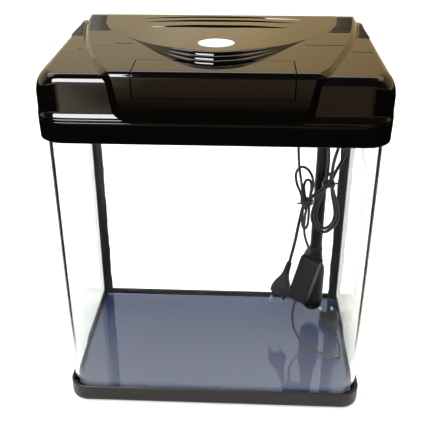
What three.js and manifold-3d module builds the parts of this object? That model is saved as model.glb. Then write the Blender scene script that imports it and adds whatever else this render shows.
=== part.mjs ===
// Hooded desk-top aquarium: bent-glass tank, two-part hood, filter pump, lamp, lamp driver and leads.
// Millimetres, +X right, +Y back, +Z up, origin at the middle of the footprint on the table.
import * as THREE from 'three';
import { mergeVertices } from 'three/addons/utils/BufferGeometryUtils.js';
import Module from 'manifold-3d';

const wasm = await Module();
wasm.setup();

// ---- driving dimensions -------------------------------------------------------------------
const GAP = 0.3;                    // running gap between touching pieces

const BASE_HALF_WIDTH = 190;
const BASE_HALF_DEPTH = 120;
const BASE_BOTTOM = 1.5;
const BASE_TOP = 24;
const BASE_WALL = 3;
const BASE_FLOOR_TOP = 13;
const BASE_FRONT_RADIUS = 24;
const BASE_BACK_RADIUS = 12;

const GLASS = 4;                    // thickness of every glass sheet
const GLASS_HALF_WIDTH = 186.3;
const GLASS_FRONT = -116.3;
const GLASS_TOP = 372;
const GLASS_CORNER_RADIUS = 26.5;
const SIDE_GLASS_END = 108.5;
const BACK_GLASS_FRONT = 112;
const PLATE_TOP = 20;               // upper face of the bottom glass
const FILM = 0.8;

const FRAME_HALF_WIDTH = 194;
const FRAME_HALF_DEPTH = 125;
const FRAME_BOTTOM = 364;
const FRAME_TOP = 388;
const FRAME_WALL = 3;
const FRAME_TAPER = 0.5;
const FRAME_FRONT_RADIUS = 34;
const FRAME_BACK_RADIUS = 14;
const GLASS_CLEARANCE = 1.2;        // between the frame's skirt and the glass
const LEDGE_BOTTOM = GLASS_TOP + GAP;
const LEDGE_TOP = LEDGE_BOTTOM + 3;
const LEDGE_HALF_WIDTH = 176;
const LEDGE_HALF_DEPTH = 106;
const LEFT_BAR_X = -155;
const RIGHT_BAR_X = 126;

const COVER_BOTTOM = FRAME_TOP + 0.4;
const COVER_WALL = 3;
const SIDE_INSET = 4;               // how far the side sections stand back from the band at the front
const SIDE_FRONT_Z = 438;
const SIDE_BACK_Z = 448;
const SHOULDER_WIDTH = 14;          // rounded outer edge of the side sections
const SHOULDER_DROP = 28;
const CENTRE_FRONT_Z = 443;
const CENTRE_BACK_Z = 455;
const PLATEAU_Z = 455;
const PLATEAU_STEP_RUN = 15.6;      // plan depth of the plateau's three steps at its tip
const FRONT_EDGE_RADIUS = 7;

const FLAP_HALF_WIDTH = 84.6;
const FLAP_BACK_Y = -80.4;
const FLAP_BOTTOM_Z = 416;
const FLAP_CLEARANCE = 0.7;
const FLAP_AXIS_Y = FLAP_BACK_Y - 1.5;
const FLAP_AXIS_DEPTH = 1.5;
const FLAP_PIN_RADIUS = 0.8;

const HINGE_Y = 128.2;
const HINGE_Z = 388.2;
const HINGE_RADIUS = 2.8;
const HINGE_PIN_RADIUS = 1.2;

const RISER_X = 141;
const RISER_Y = 60;
const RISER_RADIUS = 8.5;
const RISER_BORE = 6.5;
const PUMP_RADIUS = 15;
const PUMP_BOTTOM = 34.5;
const PUMP_SPLIT = 62;
const PUMP_TOP = 117;

const MAINS_LEAD = 4.5;             // outer diameters of the leads
const THIN_LEAD = 3.5;

const X = new THREE.Vector3(1, 0, 0);
const Y = new THREE.Vector3(0, 1, 0);
const Z = new THREE.Vector3(0, 0, 1);

// ---- shape helpers ------------------------------------------------------------------------
function solid(geometry) {
  const plain = geometry.clone();
  plain.deleteAttribute('normal');
  plain.deleteAttribute('uv');
  const merged = mergeVertices(plain, 1e-4);
  const mesh = new wasm.Mesh({
    numProp: 3,
    vertProperties: new Float32Array(merged.attributes.position.array),
    triVerts: new Uint32Array(merged.index.array),
  });
  return new wasm.Manifold(mesh);
}

function geometryOf(manifold) {
  const mesh = manifold.getMesh();
  const geometry = new THREE.BufferGeometry();
  geometry.setAttribute('position', new THREE.BufferAttribute(mesh.vertProperties, 3));
  geometry.setIndex(new THREE.BufferAttribute(mesh.triVerts, 1));
  geometry.computeVertexNormals();
  return geometry;
}

function block(x0, x1, y0, y1, z0, z1) {
  const box = new THREE.BoxGeometry(x1 - x0, y1 - y0, z1 - z0);
  return solid(box.translate((x0 + x1) / 2, (y0 + y1) / 2, (z0 + z1) / 2));
}

// A round bar along an axis, from one end point.
function bar(radius, length, axis, start, sides = 16) {
  const geometry = new THREE.CylinderGeometry(radius, radius, length, sides);
  geometry.translate(0, length / 2, 0);
  geometry.applyQuaternion(new THREE.Quaternion().setFromUnitVectors(Y, axis));
  return solid(geometry.translate(...start));
}

// A turned piece about the vertical line through (x, y); the profile is [radius, height] pairs.
function turned(profile, x, y, sides = 24) {
  const points = profile.map(([radius, height]) => new THREE.Vector2(radius, height));
  const geometry = new THREE.LatheGeometry(points, sides);
  geometry.rotateX(Math.PI / 2);
  return solid(geometry.translate(x, y, 0));
}

// Plan outline with its own corner radius at the front and at the back, counter-clockwise.
function plan(halfWidth, front, back, frontRadius, backRadius, steps = 6) {
  const corners = [
    [halfWidth - frontRadius, front + frontRadius, frontRadius, -90],
    [halfWidth - backRadius, back - backRadius, backRadius, 0],
    [backRadius - halfWidth, back - backRadius, backRadius, 90],
    [frontRadius - halfWidth, front + frontRadius, frontRadius, 180],
  ];
  const points = [];
  for (const [x, y, radius, startDegrees] of corners) {
    for (let i = 0; i <= steps; i += 1) {
      const angle = THREE.MathUtils.degToRad(startDegrees + (90 * i) / steps);
      points.push(new THREE.Vector2(x + radius * Math.cos(angle), y + radius * Math.sin(angle)));
    }
  }
  return points;
}

function prism(points, z0, z1) {
  const geometry = new THREE.ExtrudeGeometry(new THREE.Shape(points), {
    depth: z1 - z0, bevelEnabled: false, curveSegments: 8,
  });
  return solid(geometry.translate(0, 0, z0));
}

// A closed solid through plan outlines of equal point count, each at its own height.
function loft(sections) {
  const count = sections[0].points.length;
  const positions = [];
  for (const { points, z } of sections) {
    for (const point of points) positions.push(point.x, point.y, z);
  }
  const index = [];
  for (let level = 0; level < sections.length - 1; level += 1) {
    for (let i = 0; i < count; i += 1) {
      const a = level * count + i;
      const b = level * count + ((i + 1) % count);
      index.push(a, b, b + count, a, b + count, a + count);
    }
  }
  const top = (sections.length - 1) * count;
  for (const [a, b, c] of THREE.ShapeUtils.triangulateShape(sections[0].points, [])) {
    index.push(a, c, b, top + a, top + b, top + c);
  }
  const geometry = new THREE.BufferGeometry();
  geometry.setAttribute('position', new THREE.Float32BufferAttribute(positions, 3));
  geometry.setIndex(index);
  return solid(geometry);
}

// A closed solid through side views of equal point count, each drawn in the YZ plane at its own x.
function loftAlongX(sections) {
  const upright = loft(sections.map(({ points, x }) => ({ points, z: x })));
  return upright.transform([0, 1, 0, 0, 0, 0, 1, 0, 1, 0, 0, 0, 0, 0, 0, 1]);
}

// A shape drawn in the YZ plane, pushed along X.
function alongX(shape, x0, x1) {
  const options = { depth: x1 - x0, bevelEnabled: false, curveSegments: 5 };
  const geometry = new THREE.ExtrudeGeometry(shape, options);
  geometry.applyMatrix4(new THREE.Matrix4().makeBasis(Y, Z, X));
  return solid(geometry.translate(x0, 0, 0));
}

// A shape drawn in the XZ plane, pushed along Y.
function alongY(shape, y0, y1) {
  const options = { depth: y1 - y0, bevelEnabled: false, curveSegments: 6 };
  const geometry = new THREE.ExtrudeGeometry(shape, options);
  geometry.applyMatrix4(new THREE.Matrix4().makeBasis(X, Z, Y.clone().negate()));
  return solid(geometry.translate(0, y1, 0));
}

function lead(points, diameter, steps) {
  const path = new THREE.CatmullRomCurve3(points.map((point) => new THREE.Vector3(...point)));
  const section = new THREE.Shape().absarc(0, 0, diameter / 2, 0, 2 * Math.PI);
  const sides = diameter < 4 ? 4 : 5;
  const options = { extrudePath: path, steps, bevelEnabled: false, curveSegments: sides };
  return new THREE.ExtrudeGeometry(section, options);
}

function slab(halfWidth, halfDepth, radius) {
  return plan(halfWidth, -halfDepth, halfDepth, radius, radius, 3);
}

// ---- the exported model -------------------------------------------------------------------
const model = new THREE.Group();
model.name = 'hooded_aquarium';

const finishes = {
  glossBlack: { color: 0x0b0b0c, roughness: 0.12, metalness: 0 },
  satinBlack: { color: 0x2a2420, roughness: 0.4, metalness: 0 },
  glass: { color: 0xdfe9e6, roughness: 0.02, metalness: 0, transparent: true, opacity: 0.3 },
  blueFilm: { color: 0x4b568c, roughness: 0.5, metalness: 0 },
  rubber: { color: 0x161616, roughness: 0.8, metalness: 0 },
  whitePlastic: { color: 0xe6e8ea, roughness: 0.4, metalness: 0 },
  lens: { color: 0xe9f1f5, roughness: 0.2, metalness: 0, transparent: true, opacity: 0.6 },
  board: { color: 0xf2f2ee, roughness: 0.5, metalness: 0 },
  sponge: { color: 0x22262b, roughness: 0.95, metalness: 0 },
  steel: { color: 0xb8babd, roughness: 0.25, metalness: 1 },
  ceramic: { color: 0xeeeae0, roughness: 0.3, metalness: 0 },
  cable: { color: 0x141414, roughness: 0.45, metalness: 0 },
};

function add(name, shape, finish, parent = model) {
  const geometry = shape.isBufferGeometry ? shape : geometryOf(shape);
  const mesh = new THREE.Mesh(geometry, new THREE.MeshStandardMaterial(finishes[finish]));
  mesh.name = name;
  parent.add(mesh);
}

// ---- tank ---------------------------------------------------------------------------------
function baseTray() {
  const outline = (inset) => plan(
    BASE_HALF_WIDTH - inset, inset - BASE_HALF_DEPTH, BASE_HALF_DEPTH - inset,
    BASE_FRONT_RADIUS, BASE_BACK_RADIUS,
  );
  const pocket = plan(
    BASE_HALF_WIDTH - BASE_WALL, BASE_WALL - BASE_HALF_DEPTH, BASE_HALF_DEPTH - BASE_WALL,
    BASE_FRONT_RADIUS - BASE_WALL, 1,
  );
  let tray = loft([
    { points: outline(1.5), z: BASE_BOTTOM },
    { points: outline(0), z: BASE_BOTTOM + 6 },
    { points: outline(0), z: BASE_TOP },
  ]);
  tray = tray.subtract(prism(pocket, BASE_FLOOR_TOP, BASE_TOP + 1));
  for (const [x, y] of FOOT_PLACES) {
    tray = tray.subtract(bar(FOOT_RADIUS + GAP, 3 - BASE_BOTTOM + 1, Z, [x, y, BASE_BOTTOM - 1]));
  }
  return tray;
}

const FOOT_RADIUS = 9;
const FOOT_PLACES = [[-160, -92], [160, -92], [-160, 92], [160, 92]];
const FOOT_NAMES = ['foot_front_left', 'foot_front_right', 'foot_back_left', 'foot_back_right'];

// Front pane and both side panes are one sheet, bent round the two front corners.
function bentGlass() {
  const sheet = (halfWidth, front, radius) => {
    const points = plan(halfWidth, front, SIDE_GLASS_END + radius, radius, radius, 8);
    return prism(points, BASE_FLOOR_TOP + GAP, GLASS_TOP);
  };
  const outer = sheet(GLASS_HALF_WIDTH, GLASS_FRONT, GLASS_CORNER_RADIUS);
  const inner = sheet(GLASS_HALF_WIDTH - GLASS, GLASS_FRONT + GLASS, GLASS_CORNER_RADIUS - GLASS);
  const behind = block(-200, 200, SIDE_GLASS_END, 200, 0, 400);
  return outer.subtract(inner).subtract(behind);
}

function bottomGlass() {
  const clear = GLASS + GAP;
  const points = plan(
    GLASS_HALF_WIDTH - clear, GLASS_FRONT + clear, SIDE_GLASS_END - GAP, GLASS_CORNER_RADIUS - clear, 1,
  );
  return prism(points, PLATE_TOP - 5, PLATE_TOP);
}

function bottomFilm() {
  const clear = GLASS + GAP;
  const points = plan(
    GLASS_HALF_WIDTH - clear, GLASS_FRONT + clear, SIDE_GLASS_END - GAP, GLASS_CORNER_RADIUS - clear, 1,
  );
  return prism(points, PLATE_TOP - 5 - GAP - FILM, PLATE_TOP - 5 - GAP);
}

// Black corner seal: one leg closes the joint to the back pane, the other lies on the side pane.
function cornerSeal(side) {
  const leg = 11.5;
  const inside = GLASS_HALF_WIDTH - GLASS - GAP;
  const shape = new THREE.Shape([
    new THREE.Vector2(GLASS_HALF_WIDTH, SIDE_GLASS_END + GAP),
    new THREE.Vector2(GLASS_HALF_WIDTH, BACK_GLASS_FRONT - GAP),
    new THREE.Vector2(inside - leg, BACK_GLASS_FRONT - GAP),
    new THREE.Vector2(inside - leg, BACK_GLASS_FRONT - GAP - 3),
    new THREE.Vector2(inside - 3, BACK_GLASS_FRONT - GAP - 3),
    new THREE.Vector2(inside - 3, SIDE_GLASS_END - leg + 2),
    new THREE.Vector2(inside, SIDE_GLASS_END - leg + 2),
    new THREE.Vector2(inside, SIDE_GLASS_END + GAP),
  ]);
  const points = shape.getPoints().map((point) => new THREE.Vector2(side * point.x, point.y));
  return prism(points, PLATE_TOP + GAP, GLASS_TOP - GAP);
}

function buildTank() {
  add('base_tray', baseTray(), 'satinBlack');
  FOOT_PLACES.forEach(([x, y], i) => add(FOOT_NAMES[i], bar(FOOT_RADIUS, 2.7, Z, [x, y, 0], 20), 'rubber'));
  add('bottom_film', bottomFilm(), 'blueFilm');
  add('bottom_glass', bottomGlass(), 'glass');
  add('bent_glass', bentGlass(), 'glass');
  const backGlass = block(
    -GLASS_HALF_WIDTH, GLASS_HALF_WIDTH,
    BACK_GLASS_FRONT, BACK_GLASS_FRONT + GLASS,
    BASE_FLOOR_TOP + GAP, GLASS_TOP,
  );
  add('back_glass', backGlass, 'glass');
  add('corner_seal_left', cornerSeal(-1), 'rubber');
  add('corner_seal_right', cornerSeal(1), 'rubber');
}

// ---- hood frame ---------------------------------------------------------------------------
const SCREW_PLACES = [[LEFT_BAR_X, -8], [RIGHT_BAR_X, -8]];

function hoodFrame() {
  const outer = (inset) => plan(
    FRAME_HALF_WIDTH - inset, inset - FRAME_HALF_DEPTH, FRAME_HALF_DEPTH - inset,
    FRAME_FRONT_RADIUS, FRAME_BACK_RADIUS,
  );
  const skirt = plan(
    GLASS_HALF_WIDTH + GLASS_CLEARANCE, GLASS_FRONT - GLASS_CLEARANCE,
    BACK_GLASS_FRONT + GLASS + GLASS_CLEARANCE, GLASS_CORNER_RADIUS + GLASS_CLEARANCE, 2,
  );
  const wall = plan(
    FRAME_HALF_WIDTH - FRAME_WALL, FRAME_WALL - FRAME_HALF_DEPTH, FRAME_HALF_DEPTH - FRAME_WALL,
    FRAME_FRONT_RADIUS - FRAME_WALL, FRAME_BACK_RADIUS - FRAME_WALL,
  );
  let frame = loft([
    { points: outer(FRAME_TAPER), z: FRAME_BOTTOM },
    { points: outer(0), z: FRAME_BOTTOM + 16 },
    { points: outer(0), z: FRAME_TOP },
  ]);
  frame = frame.subtract(prism(skirt, FRAME_BOTTOM - 1, LEDGE_BOTTOM));
  const mouth = slab(LEDGE_HALF_WIDTH, LEDGE_HALF_DEPTH, 12);
  frame = frame.subtract(prism(mouth, LEDGE_BOTTOM - 1, FRAME_TOP + 1));
  frame = frame.subtract(prism(wall, LEDGE_TOP, FRAME_TOP + 1));
  const barReach = LEDGE_HALF_DEPTH + 2;
  for (const x of [LEFT_BAR_X, RIGHT_BAR_X]) {
    frame = frame.add(block(x - 5, x + 5, -barReach, barReach, LEDGE_BOTTOM, LEDGE_TOP));
  }
  for (const [x, y] of SCREW_PLACES) {
    frame = frame.subtract(bar(1.5 + GAP, 8, Z, [x, y, LEDGE_BOTTOM - 2], 12));
  }
  for (const side of [-1, 1]) frame = frame.add(knuckle(side, 100, FRAME_TOP - 6, FRAME_TOP - 1.5));
  for (const side of [-1, 1]) frame = frame.subtract(hingeBore(side));
  return frame;
}

// Hinge knuckle: a short barrel behind the rear edge, with a web back to its own shell.
function knuckle(side, start, webBottom, webTop) {
  const x0 = side > 0 ? start : -start - 9.7;
  const barrel = bar(HINGE_RADIUS, 9.7, X, [x0, HINGE_Y, HINGE_Z]);
  return barrel.add(block(x0, x0 + 9.7, FRAME_HALF_DEPTH - 1, HINGE_Y + 1, webBottom, webTop));
}

function hingeBore(side) {
  return bar(HINGE_PIN_RADIUS + GAP, 30, X, [side > 0 ? 95 : -125, HINGE_Y, HINGE_Z], 12);
}

const LAMP = { left: -164, right: 135, front: -38, back: 24, bottom: LEDGE_TOP + GAP, top: 398 };

function lampHousing() {
  const { left, right, front, back, bottom, top } = LAMP;
  let housing = block(left, right, front, back, bottom, top);
  housing = housing.subtract(block(left + 16, right - 16, front + 2.5, back - 2.5, bottom - 1, top - 2.5));
  housing = housing.subtract(block(left - 1, left + 13.5, front - 1, back + 1, bottom + 3, top + 1));
  housing = housing.subtract(block(right - 13.5, right + 1, front - 1, back + 1, bottom + 3, top + 1));
  for (const x of [-90, 60]) housing = housing.add(bar(3, 14, Z, [x, -7, top - 15]));
  for (const [x, y] of SCREW_PLACES) housing = housing.subtract(bar(1.5 + GAP, 6, Z, [x, y, bottom - 1], 12));
  return housing;
}

function lampScrew([x, y]) {
  const headBottom = LAMP.bottom + 3 + GAP;
  const shank = bar(1.5, headBottom - LEDGE_BOTTOM, Z, [x, y, LEDGE_BOTTOM + 0.4], 12);
  return shank.add(bar(3.2, 2, Z, [x, y, headBottom], 16));
}

function filterTray() {
  const { left, right, front, back, bottom, top } = TRAY;
  let tray = block(left, right, front, back, bottom, top);
  tray = tray.subtract(block(left + 2, right - 2, front + 2, back - 2, bottom + 2, top + 1));
  for (let i = 0; i < 6; i += 1) {
    const x = left + 12 + i * 9;
    tray = tray.subtract(block(x, x + 4.5, front + 8, back - 8, bottom - 1, bottom + 3));
  }
  return tray;
}

const TRAY = { left: -148, right: 118, front: 30, back: 102, bottom: LEDGE_TOP + GAP, top: 402 };

// Plate under the frame's right bar that the leads leave the hood through.
const BRACKET_TOP = LEDGE_BOTTOM - GAP;
const GLAND_TOP = BRACKET_TOP - 3 - GAP;
const GLAND_A = [100, 30];
const GLAND_D = [170, 70];

function cableBracket() {
  const points = [
    [92, 22], [172, 22], [172, 40], [176, 52], [176, 82], [92, 82],
  ].map(([x, y]) => new THREE.Vector2(x, y));
  const plate = prism(points, BRACKET_TOP - 3, BRACKET_TOP);
  const riserHole = bar(RISER_RADIUS + 1, 8, Z, [RISER_X, RISER_Y, BRACKET_TOP - 5], 24);
  return plate.subtract(riserHole).add(bundleHook());
}

function gland([x, y], diameter) {
  const radius = diameter / 2;
  const profile = [
    [0, GLAND_TOP - 15], [radius + 0.7, GLAND_TOP - 15], [radius + 2.2, GLAND_TOP - 5],
    [radius + 2.6, GLAND_TOP], [0, GLAND_TOP],
  ];
  return turned(profile, x, y, 16);
}

// Hook that the bundle hangs on: a stem down from the bracket and a peg with a turned-up tip.
const HOOK = { x: 151, stemY: 47, pegZ: 343.2 };

function bundleHook() {
  const { x, stemY, pegZ } = HOOK;
  const stem = block(x - 4, x + 4, stemY - 1.5, stemY + 1.5, pegZ - 3, BRACKET_TOP - 1);
  const peg = bar(3.5, stemY + 1.5 - 29, Y, [x, 29, pegZ]);
  const tip = block(x - 2.5, x + 2.5, 29, 31.5, pegZ, pegZ + 11);
  return stem.add(peg).add(tip);
}

function buildHoodFrame() {
  add('hood_frame', hoodFrame(), 'glossBlack');
  add('lamp_housing', lampHousing(), 'whitePlastic');
  add('lamp_board', block(-140, 112, -27, 13, 380.4, 382), 'board');
  add('lamp_lens', block(-147.6, 118.6, -35.1, 21.1, LAMP.bottom + 0.6, LAMP.bottom + 2.6), 'lens');
  add('lamp_screw_left', lampScrew(SCREW_PLACES[0]), 'steel');
  add('lamp_screw_right', lampScrew(SCREW_PLACES[1]), 'steel');
  add('filter_tray', filterTray(), 'glossBlack');
  const { left, front, back, bottom } = TRAY;
  add('filter_sponge', block(left + 2.4, 60, front + 2.4, back - 2.4, bottom + 2.4, 398), 'sponge');
  add('cable_bracket', cableBracket(), 'glossBlack');
  add('lamp_lead_gland', gland(GLAND_A, THIN_LEAD), 'rubber');
  add('mains_lead_gland', gland(GLAND_D, MAINS_LEAD), 'rubber');
}

// ---- pump and riser -----------------------------------------------------------------------
function riserTube() {
  const bottom = PUMP_TOP + GAP;
  const top = 400;
  const profile = [
    [RISER_BORE, bottom], [RISER_RADIUS, bottom], [RISER_RADIUS, top], [RISER_BORE, top], [RISER_BORE, bottom],
  ];
  return turned(profile, RISER_X, RISER_Y);
}

function riserCoupling() {
  const outer = RISER_RADIUS + 2.2;
  const inner = RISER_RADIUS + GAP;
  const bottom = PUMP_TOP + 2 * GAP;
  const profile = [
    [inner, bottom], [outer - 1, bottom], [outer, 120], [outer, 126], [outer - 1, 128], [outer - 1, 141],
    [outer - 2, 143], [inner, 143], [inner, bottom],
  ];
  return turned(profile, RISER_X, RISER_Y);
}

// Elbow on top of the riser that turns the water into the filter tray.
function riserElbow() {
  const spoutZ = 412;
  const socket = bar(RISER_RADIUS + 2.5, 27, Z, [RISER_X, RISER_Y, 394], 20);
  const spout = bar(RISER_RADIUS, 38, X.clone().negate(), [RISER_X, RISER_Y, spoutZ], 20);
  let elbow = socket.add(spout);
  elbow = elbow.subtract(bar(RISER_RADIUS + GAP, 6 + GAP, Z, [RISER_X, RISER_Y, 394], 20));
  elbow = elbow.subtract(bar(RISER_BORE, 16, Z, [RISER_X, RISER_Y, 399], 20));
  return elbow.subtract(bar(RISER_BORE, 40, X.clone().negate(), [RISER_X, RISER_Y, spoutZ], 20));
}

const WELL_RADIUS = 8;

function pumpBody() {
  const bottom = PUMP_SPLIT + GAP;
  const nipple = RISER_BORE - GAP;
  const profile = [
    [0, bottom], [PUMP_RADIUS, bottom], [PUMP_RADIUS, 104], [13.8, 110], [11, 115], [9.5, PUMP_TOP],
    [nipple, PUMP_TOP], [nipple, 134], [0, 134],
  ];
  const outside = turned(profile, RISER_X, RISER_Y);
  const well = bar(WELL_RADIUS, 100 - PUMP_SPLIT, Z, [RISER_X, RISER_Y, PUMP_SPLIT], 20);
  const outlet = bar(4.2, 50, Z, [RISER_X, RISER_Y, 95], 16);
  const spider = block(RISER_X - 9, RISER_X + 9, RISER_Y - 1.5, RISER_Y + 1.5, 96, 99.5);
  const shaftBore = bar(1 + GAP, 10, Z, [RISER_X, RISER_Y, 92], 12);
  return outside.subtract(well).subtract(outlet).add(spider).subtract(shaftBore);
}

const STRAINER_SLOTS = 8;

function strainer() {
  const outer = [[0, PUMP_BOTTOM]];
  const inner = [];
  const centre = PUMP_BOTTOM + PUMP_RADIUS;
  for (let i = 1; i <= 5; i += 1) {
    const angle = (Math.PI / 2) * (i / 5);
    outer.push([PUMP_RADIUS * Math.sin(angle), centre - PUMP_RADIUS * Math.cos(angle)]);
    inner.unshift([(PUMP_RADIUS - 2) * Math.sin(angle), centre - (PUMP_RADIUS - 2) * Math.cos(angle)]);
  }
  const rim = [[PUMP_RADIUS, PUMP_SPLIT], [PUMP_RADIUS - 2, PUMP_SPLIT]];
  const profile = [...outer, ...rim, ...inner, [0, PUMP_BOTTOM + 2]];
  let basket = turned(profile, RISER_X, RISER_Y);
  for (let i = 0; i < STRAINER_SLOTS; i += 1) {
    const degrees = (360 * (i + 0.5)) / STRAINER_SLOTS;
    const slot = block(-1.3, 1.3, 9, 20, 42, 57).rotate([0, 0, degrees]);
    basket = basket.subtract(slot.translate([RISER_X, RISER_Y, 0]));
  }
  basket = basket.add(block(RISER_X - 14, RISER_X + 14, RISER_Y - 2, RISER_Y + 2, 58, 61.5));
  return basket.subtract(bar(1 + GAP, 8, Z, [RISER_X, RISER_Y, 56], 12));
}

function impeller() {
  let rotor = bar(6.2, 20, Z, [RISER_X, RISER_Y, 74], 20);
  rotor = rotor.add(bar(4, 10, Z, [RISER_X, RISER_Y, 65], 16));
  for (const degrees of [0, 90]) {
    const blade = block(-7.2, 7.2, -0.8, 0.8, 65, 73);
    rotor = rotor.add(blade.rotate([0, 0, degrees]).translate([RISER_X, RISER_Y, 0]));
  }
  return rotor.subtract(bar(1 + GAP, 40, Z, [RISER_X, RISER_Y, 60], 12));
}

// Pump lead: clipped up the back of the riser, from the pump to the bracket.
const PUMP_LEAD_Y = RISER_Y + RISER_RADIUS + MAINS_LEAD / 2 + 4.4;

const PUMP_GLAND_TOP = 124;

function pumpGland() {
  const seat = 115.4;
  const profile = [[0, seat], [3.6, seat], [3.4, seat + 3], [2.8, PUMP_GLAND_TOP], [0, PUMP_GLAND_TOP]];
  return turned(profile, RISER_X, PUMP_LEAD_Y, 14);
}

function riserClip(z) {
  const hold = MAINS_LEAD / 2 + GAP;
  let clip = bar(RISER_RADIUS + 2.3, 8, Z, [RISER_X, RISER_Y, z], 20);
  clip = clip.add(bar(hold + 1.7, 8, Z, [RISER_X, PUMP_LEAD_Y, z], 14));
  clip = clip.add(block(RISER_X - 2, RISER_X + 2, RISER_Y + RISER_RADIUS, PUMP_LEAD_Y, z, z + 8));
  clip = clip.subtract(bar(RISER_RADIUS + GAP, 12, Z, [RISER_X, RISER_Y, z - 2], 20));
  return clip.subtract(bar(hold, 12, Z, [RISER_X, PUMP_LEAD_Y, z - 2], 14));
}

function buildPump() {
  add('riser_tube', riserTube(), 'satinBlack');
  add('riser_coupling', riserCoupling(), 'satinBlack');
  add('riser_elbow', riserElbow(), 'glossBlack');
  add('pump_body', pumpBody(), 'satinBlack');
  add('pump_strainer', strainer(), 'satinBlack');
  add('impeller_shaft', bar(1, 41, Z, [RISER_X, RISER_Y, 58.4], 12), 'ceramic');
  add('pump_impeller', impeller(), 'whitePlastic');
  add('pump_lead_gland', pumpGland(), 'rubber');
  const leadBottom = PUMP_GLAND_TOP + GAP;
  const leadLength = BRACKET_TOP - 3 - GAP - leadBottom;
  add('pump_lead', bar(MAINS_LEAD / 2, leadLength, Z, [RISER_X, PUMP_LEAD_Y, leadBottom], 10), 'cable');
  add('riser_clip', riserClip(330), 'satinBlack');
}

// ---- hood cover ---------------------------------------------------------------------------
// Half width of the raised centre section on top, and how much narrower it gets towards the band.
function centreHalfWidth(y) {
  return 175 - 59 * ((FRAME_HALF_DEPTH - y) / 242) ** 1.5;
}
const CENTRE_NARROWING = 18 / 53;

// Height profile of a top face from front to back, with its rounded front edge.
function topProfile(front, frontZ, backZ, radius) {
  const slope = (backZ - frontZ) / (FRAME_HALF_DEPTH - front);
  const shape = new THREE.Shape();
  shape.moveTo(front, COVER_BOTTOM - 20);
  shape.lineTo(FRAME_HALF_DEPTH + 1, COVER_BOTTOM - 20);
  shape.lineTo(FRAME_HALF_DEPTH + 1, backZ + slope);
  shape.lineTo(front + radius, frontZ + slope * radius);
  shape.quadraticCurveTo(front, frontZ, front, frontZ - radius);
  return shape;
}

function sideBody(t) {
  const outline = (inset) => plan(
    FRAME_HALF_WIDTH - inset / 8 - t, inset + t - FRAME_HALF_DEPTH, FRAME_HALF_DEPTH - inset / 4 - t,
    FRAME_FRONT_RADIUS - t, FRAME_BACK_RADIUS - inset - t,
  );
  const walls = loft([
    { points: outline(0), z: COVER_BOTTOM - (t > 0 ? 2 : 0) },
    { points: outline(0), z: 393 - t },
    { points: outline(SIDE_INSET), z: 399 - t },
    { points: outline(SIDE_INSET), z: 470 },
  ]);
  const front = SIDE_INSET - FRAME_HALF_DEPTH + t;
  const profile = topProfile(front, SIDE_FRONT_Z - t, SIDE_BACK_Z - t, FRONT_EDGE_RADIUS);
  return walls.intersect(alongX(profile, -200, 200)).intersect(shoulders(t));
}

// Bounds the side sections with a rounded shoulder along each outer edge, sloping as their top does.
function shoulders(t) {
  const half = FRAME_HALF_WIDTH - t;
  const start = SIDE_FRONT_Z - t - SHOULDER_DROP + 0.05;
  const shape = new THREE.Shape();
  shape.moveTo(-half, 300);
  shape.lineTo(half, 300);
  shape.absellipse(half - SHOULDER_WIDTH, start, SHOULDER_WIDTH, SHOULDER_DROP, 0, Math.PI / 2);
  shape.absellipse(SHOULDER_WIDTH - half, start, SHOULDER_WIDTH, SHOULDER_DROP, Math.PI / 2, Math.PI);
  const front = SIDE_INSET - FRAME_HALF_DEPTH;
  const slope = (SIDE_BACK_Z - SIDE_FRONT_Z) / (FRAME_HALF_DEPTH - front);
  return alongY(shape, -200, 200).transform([1, 0, 0, 0, 0, 1, slope, 0, 0, 0, 1, 0, 0, 0, -slope * front, 1]);
}

function centreBody(t) {
  const ys = [-126, -105, -82, -60, -40, -20, 0, 34, 68, 96, 126];
  const outline = (z) => {
    const shift = CENTRE_NARROWING * (CENTRE_FRONT_Z - z) + 1.6 * t;
    const right = ys.map((y) => new THREE.Vector2(centreHalfWidth(Math.min(y, FRAME_HALF_DEPTH)) - shift, y));
    const left = right.map((point) => new THREE.Vector2(-point.x, point.y)).reverse();
    return [...right, ...left];
  };
  const low = COVER_BOTTOM - (t > 0 ? 2 : 0);
  const walls = loft([{ points: outline(low), z: low }, { points: outline(480), z: 480 }]);
  const profile = topProfile(t - FRAME_HALF_DEPTH, CENTRE_FRONT_Z - t, CENTRE_BACK_Z - t, FRONT_EDGE_RADIUS);
  const ends = block(-200, 200, -200, FRAME_HALF_DEPTH - t, 0, 500);
  return walls.intersect(alongX(profile, -200, 200)).intersect(ends);
}

function centreTop(y) {
  const slope = (CENTRE_BACK_Z - CENTRE_FRONT_Z) / (2 * FRAME_HALF_DEPTH);
  return CENTRE_FRONT_Z + slope * (y + FRAME_HALF_DEPTH);
}

// Right half of the plateau's front edge in plan, from its tip out to the rear edge.
const PLATEAU_EDGE = new THREE.SplineCurve([
  [0, -97], [22, -91.5], [45, -73.5], [67, -47], [84, -22.5], [100, 0.5], [112, 15], [124, 29.5], [135.5, 48],
  [145.5, 79], [151, 116],
].map(([x, y]) => new THREE.Vector2(x, y)));

// The plateau is highest along its middle and runs out into the centre section's top at its sides.
function plateauShare(x) {
  return 1 - THREE.MathUtils.smoothstep(Math.abs(x), 25, 115);
}

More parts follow.
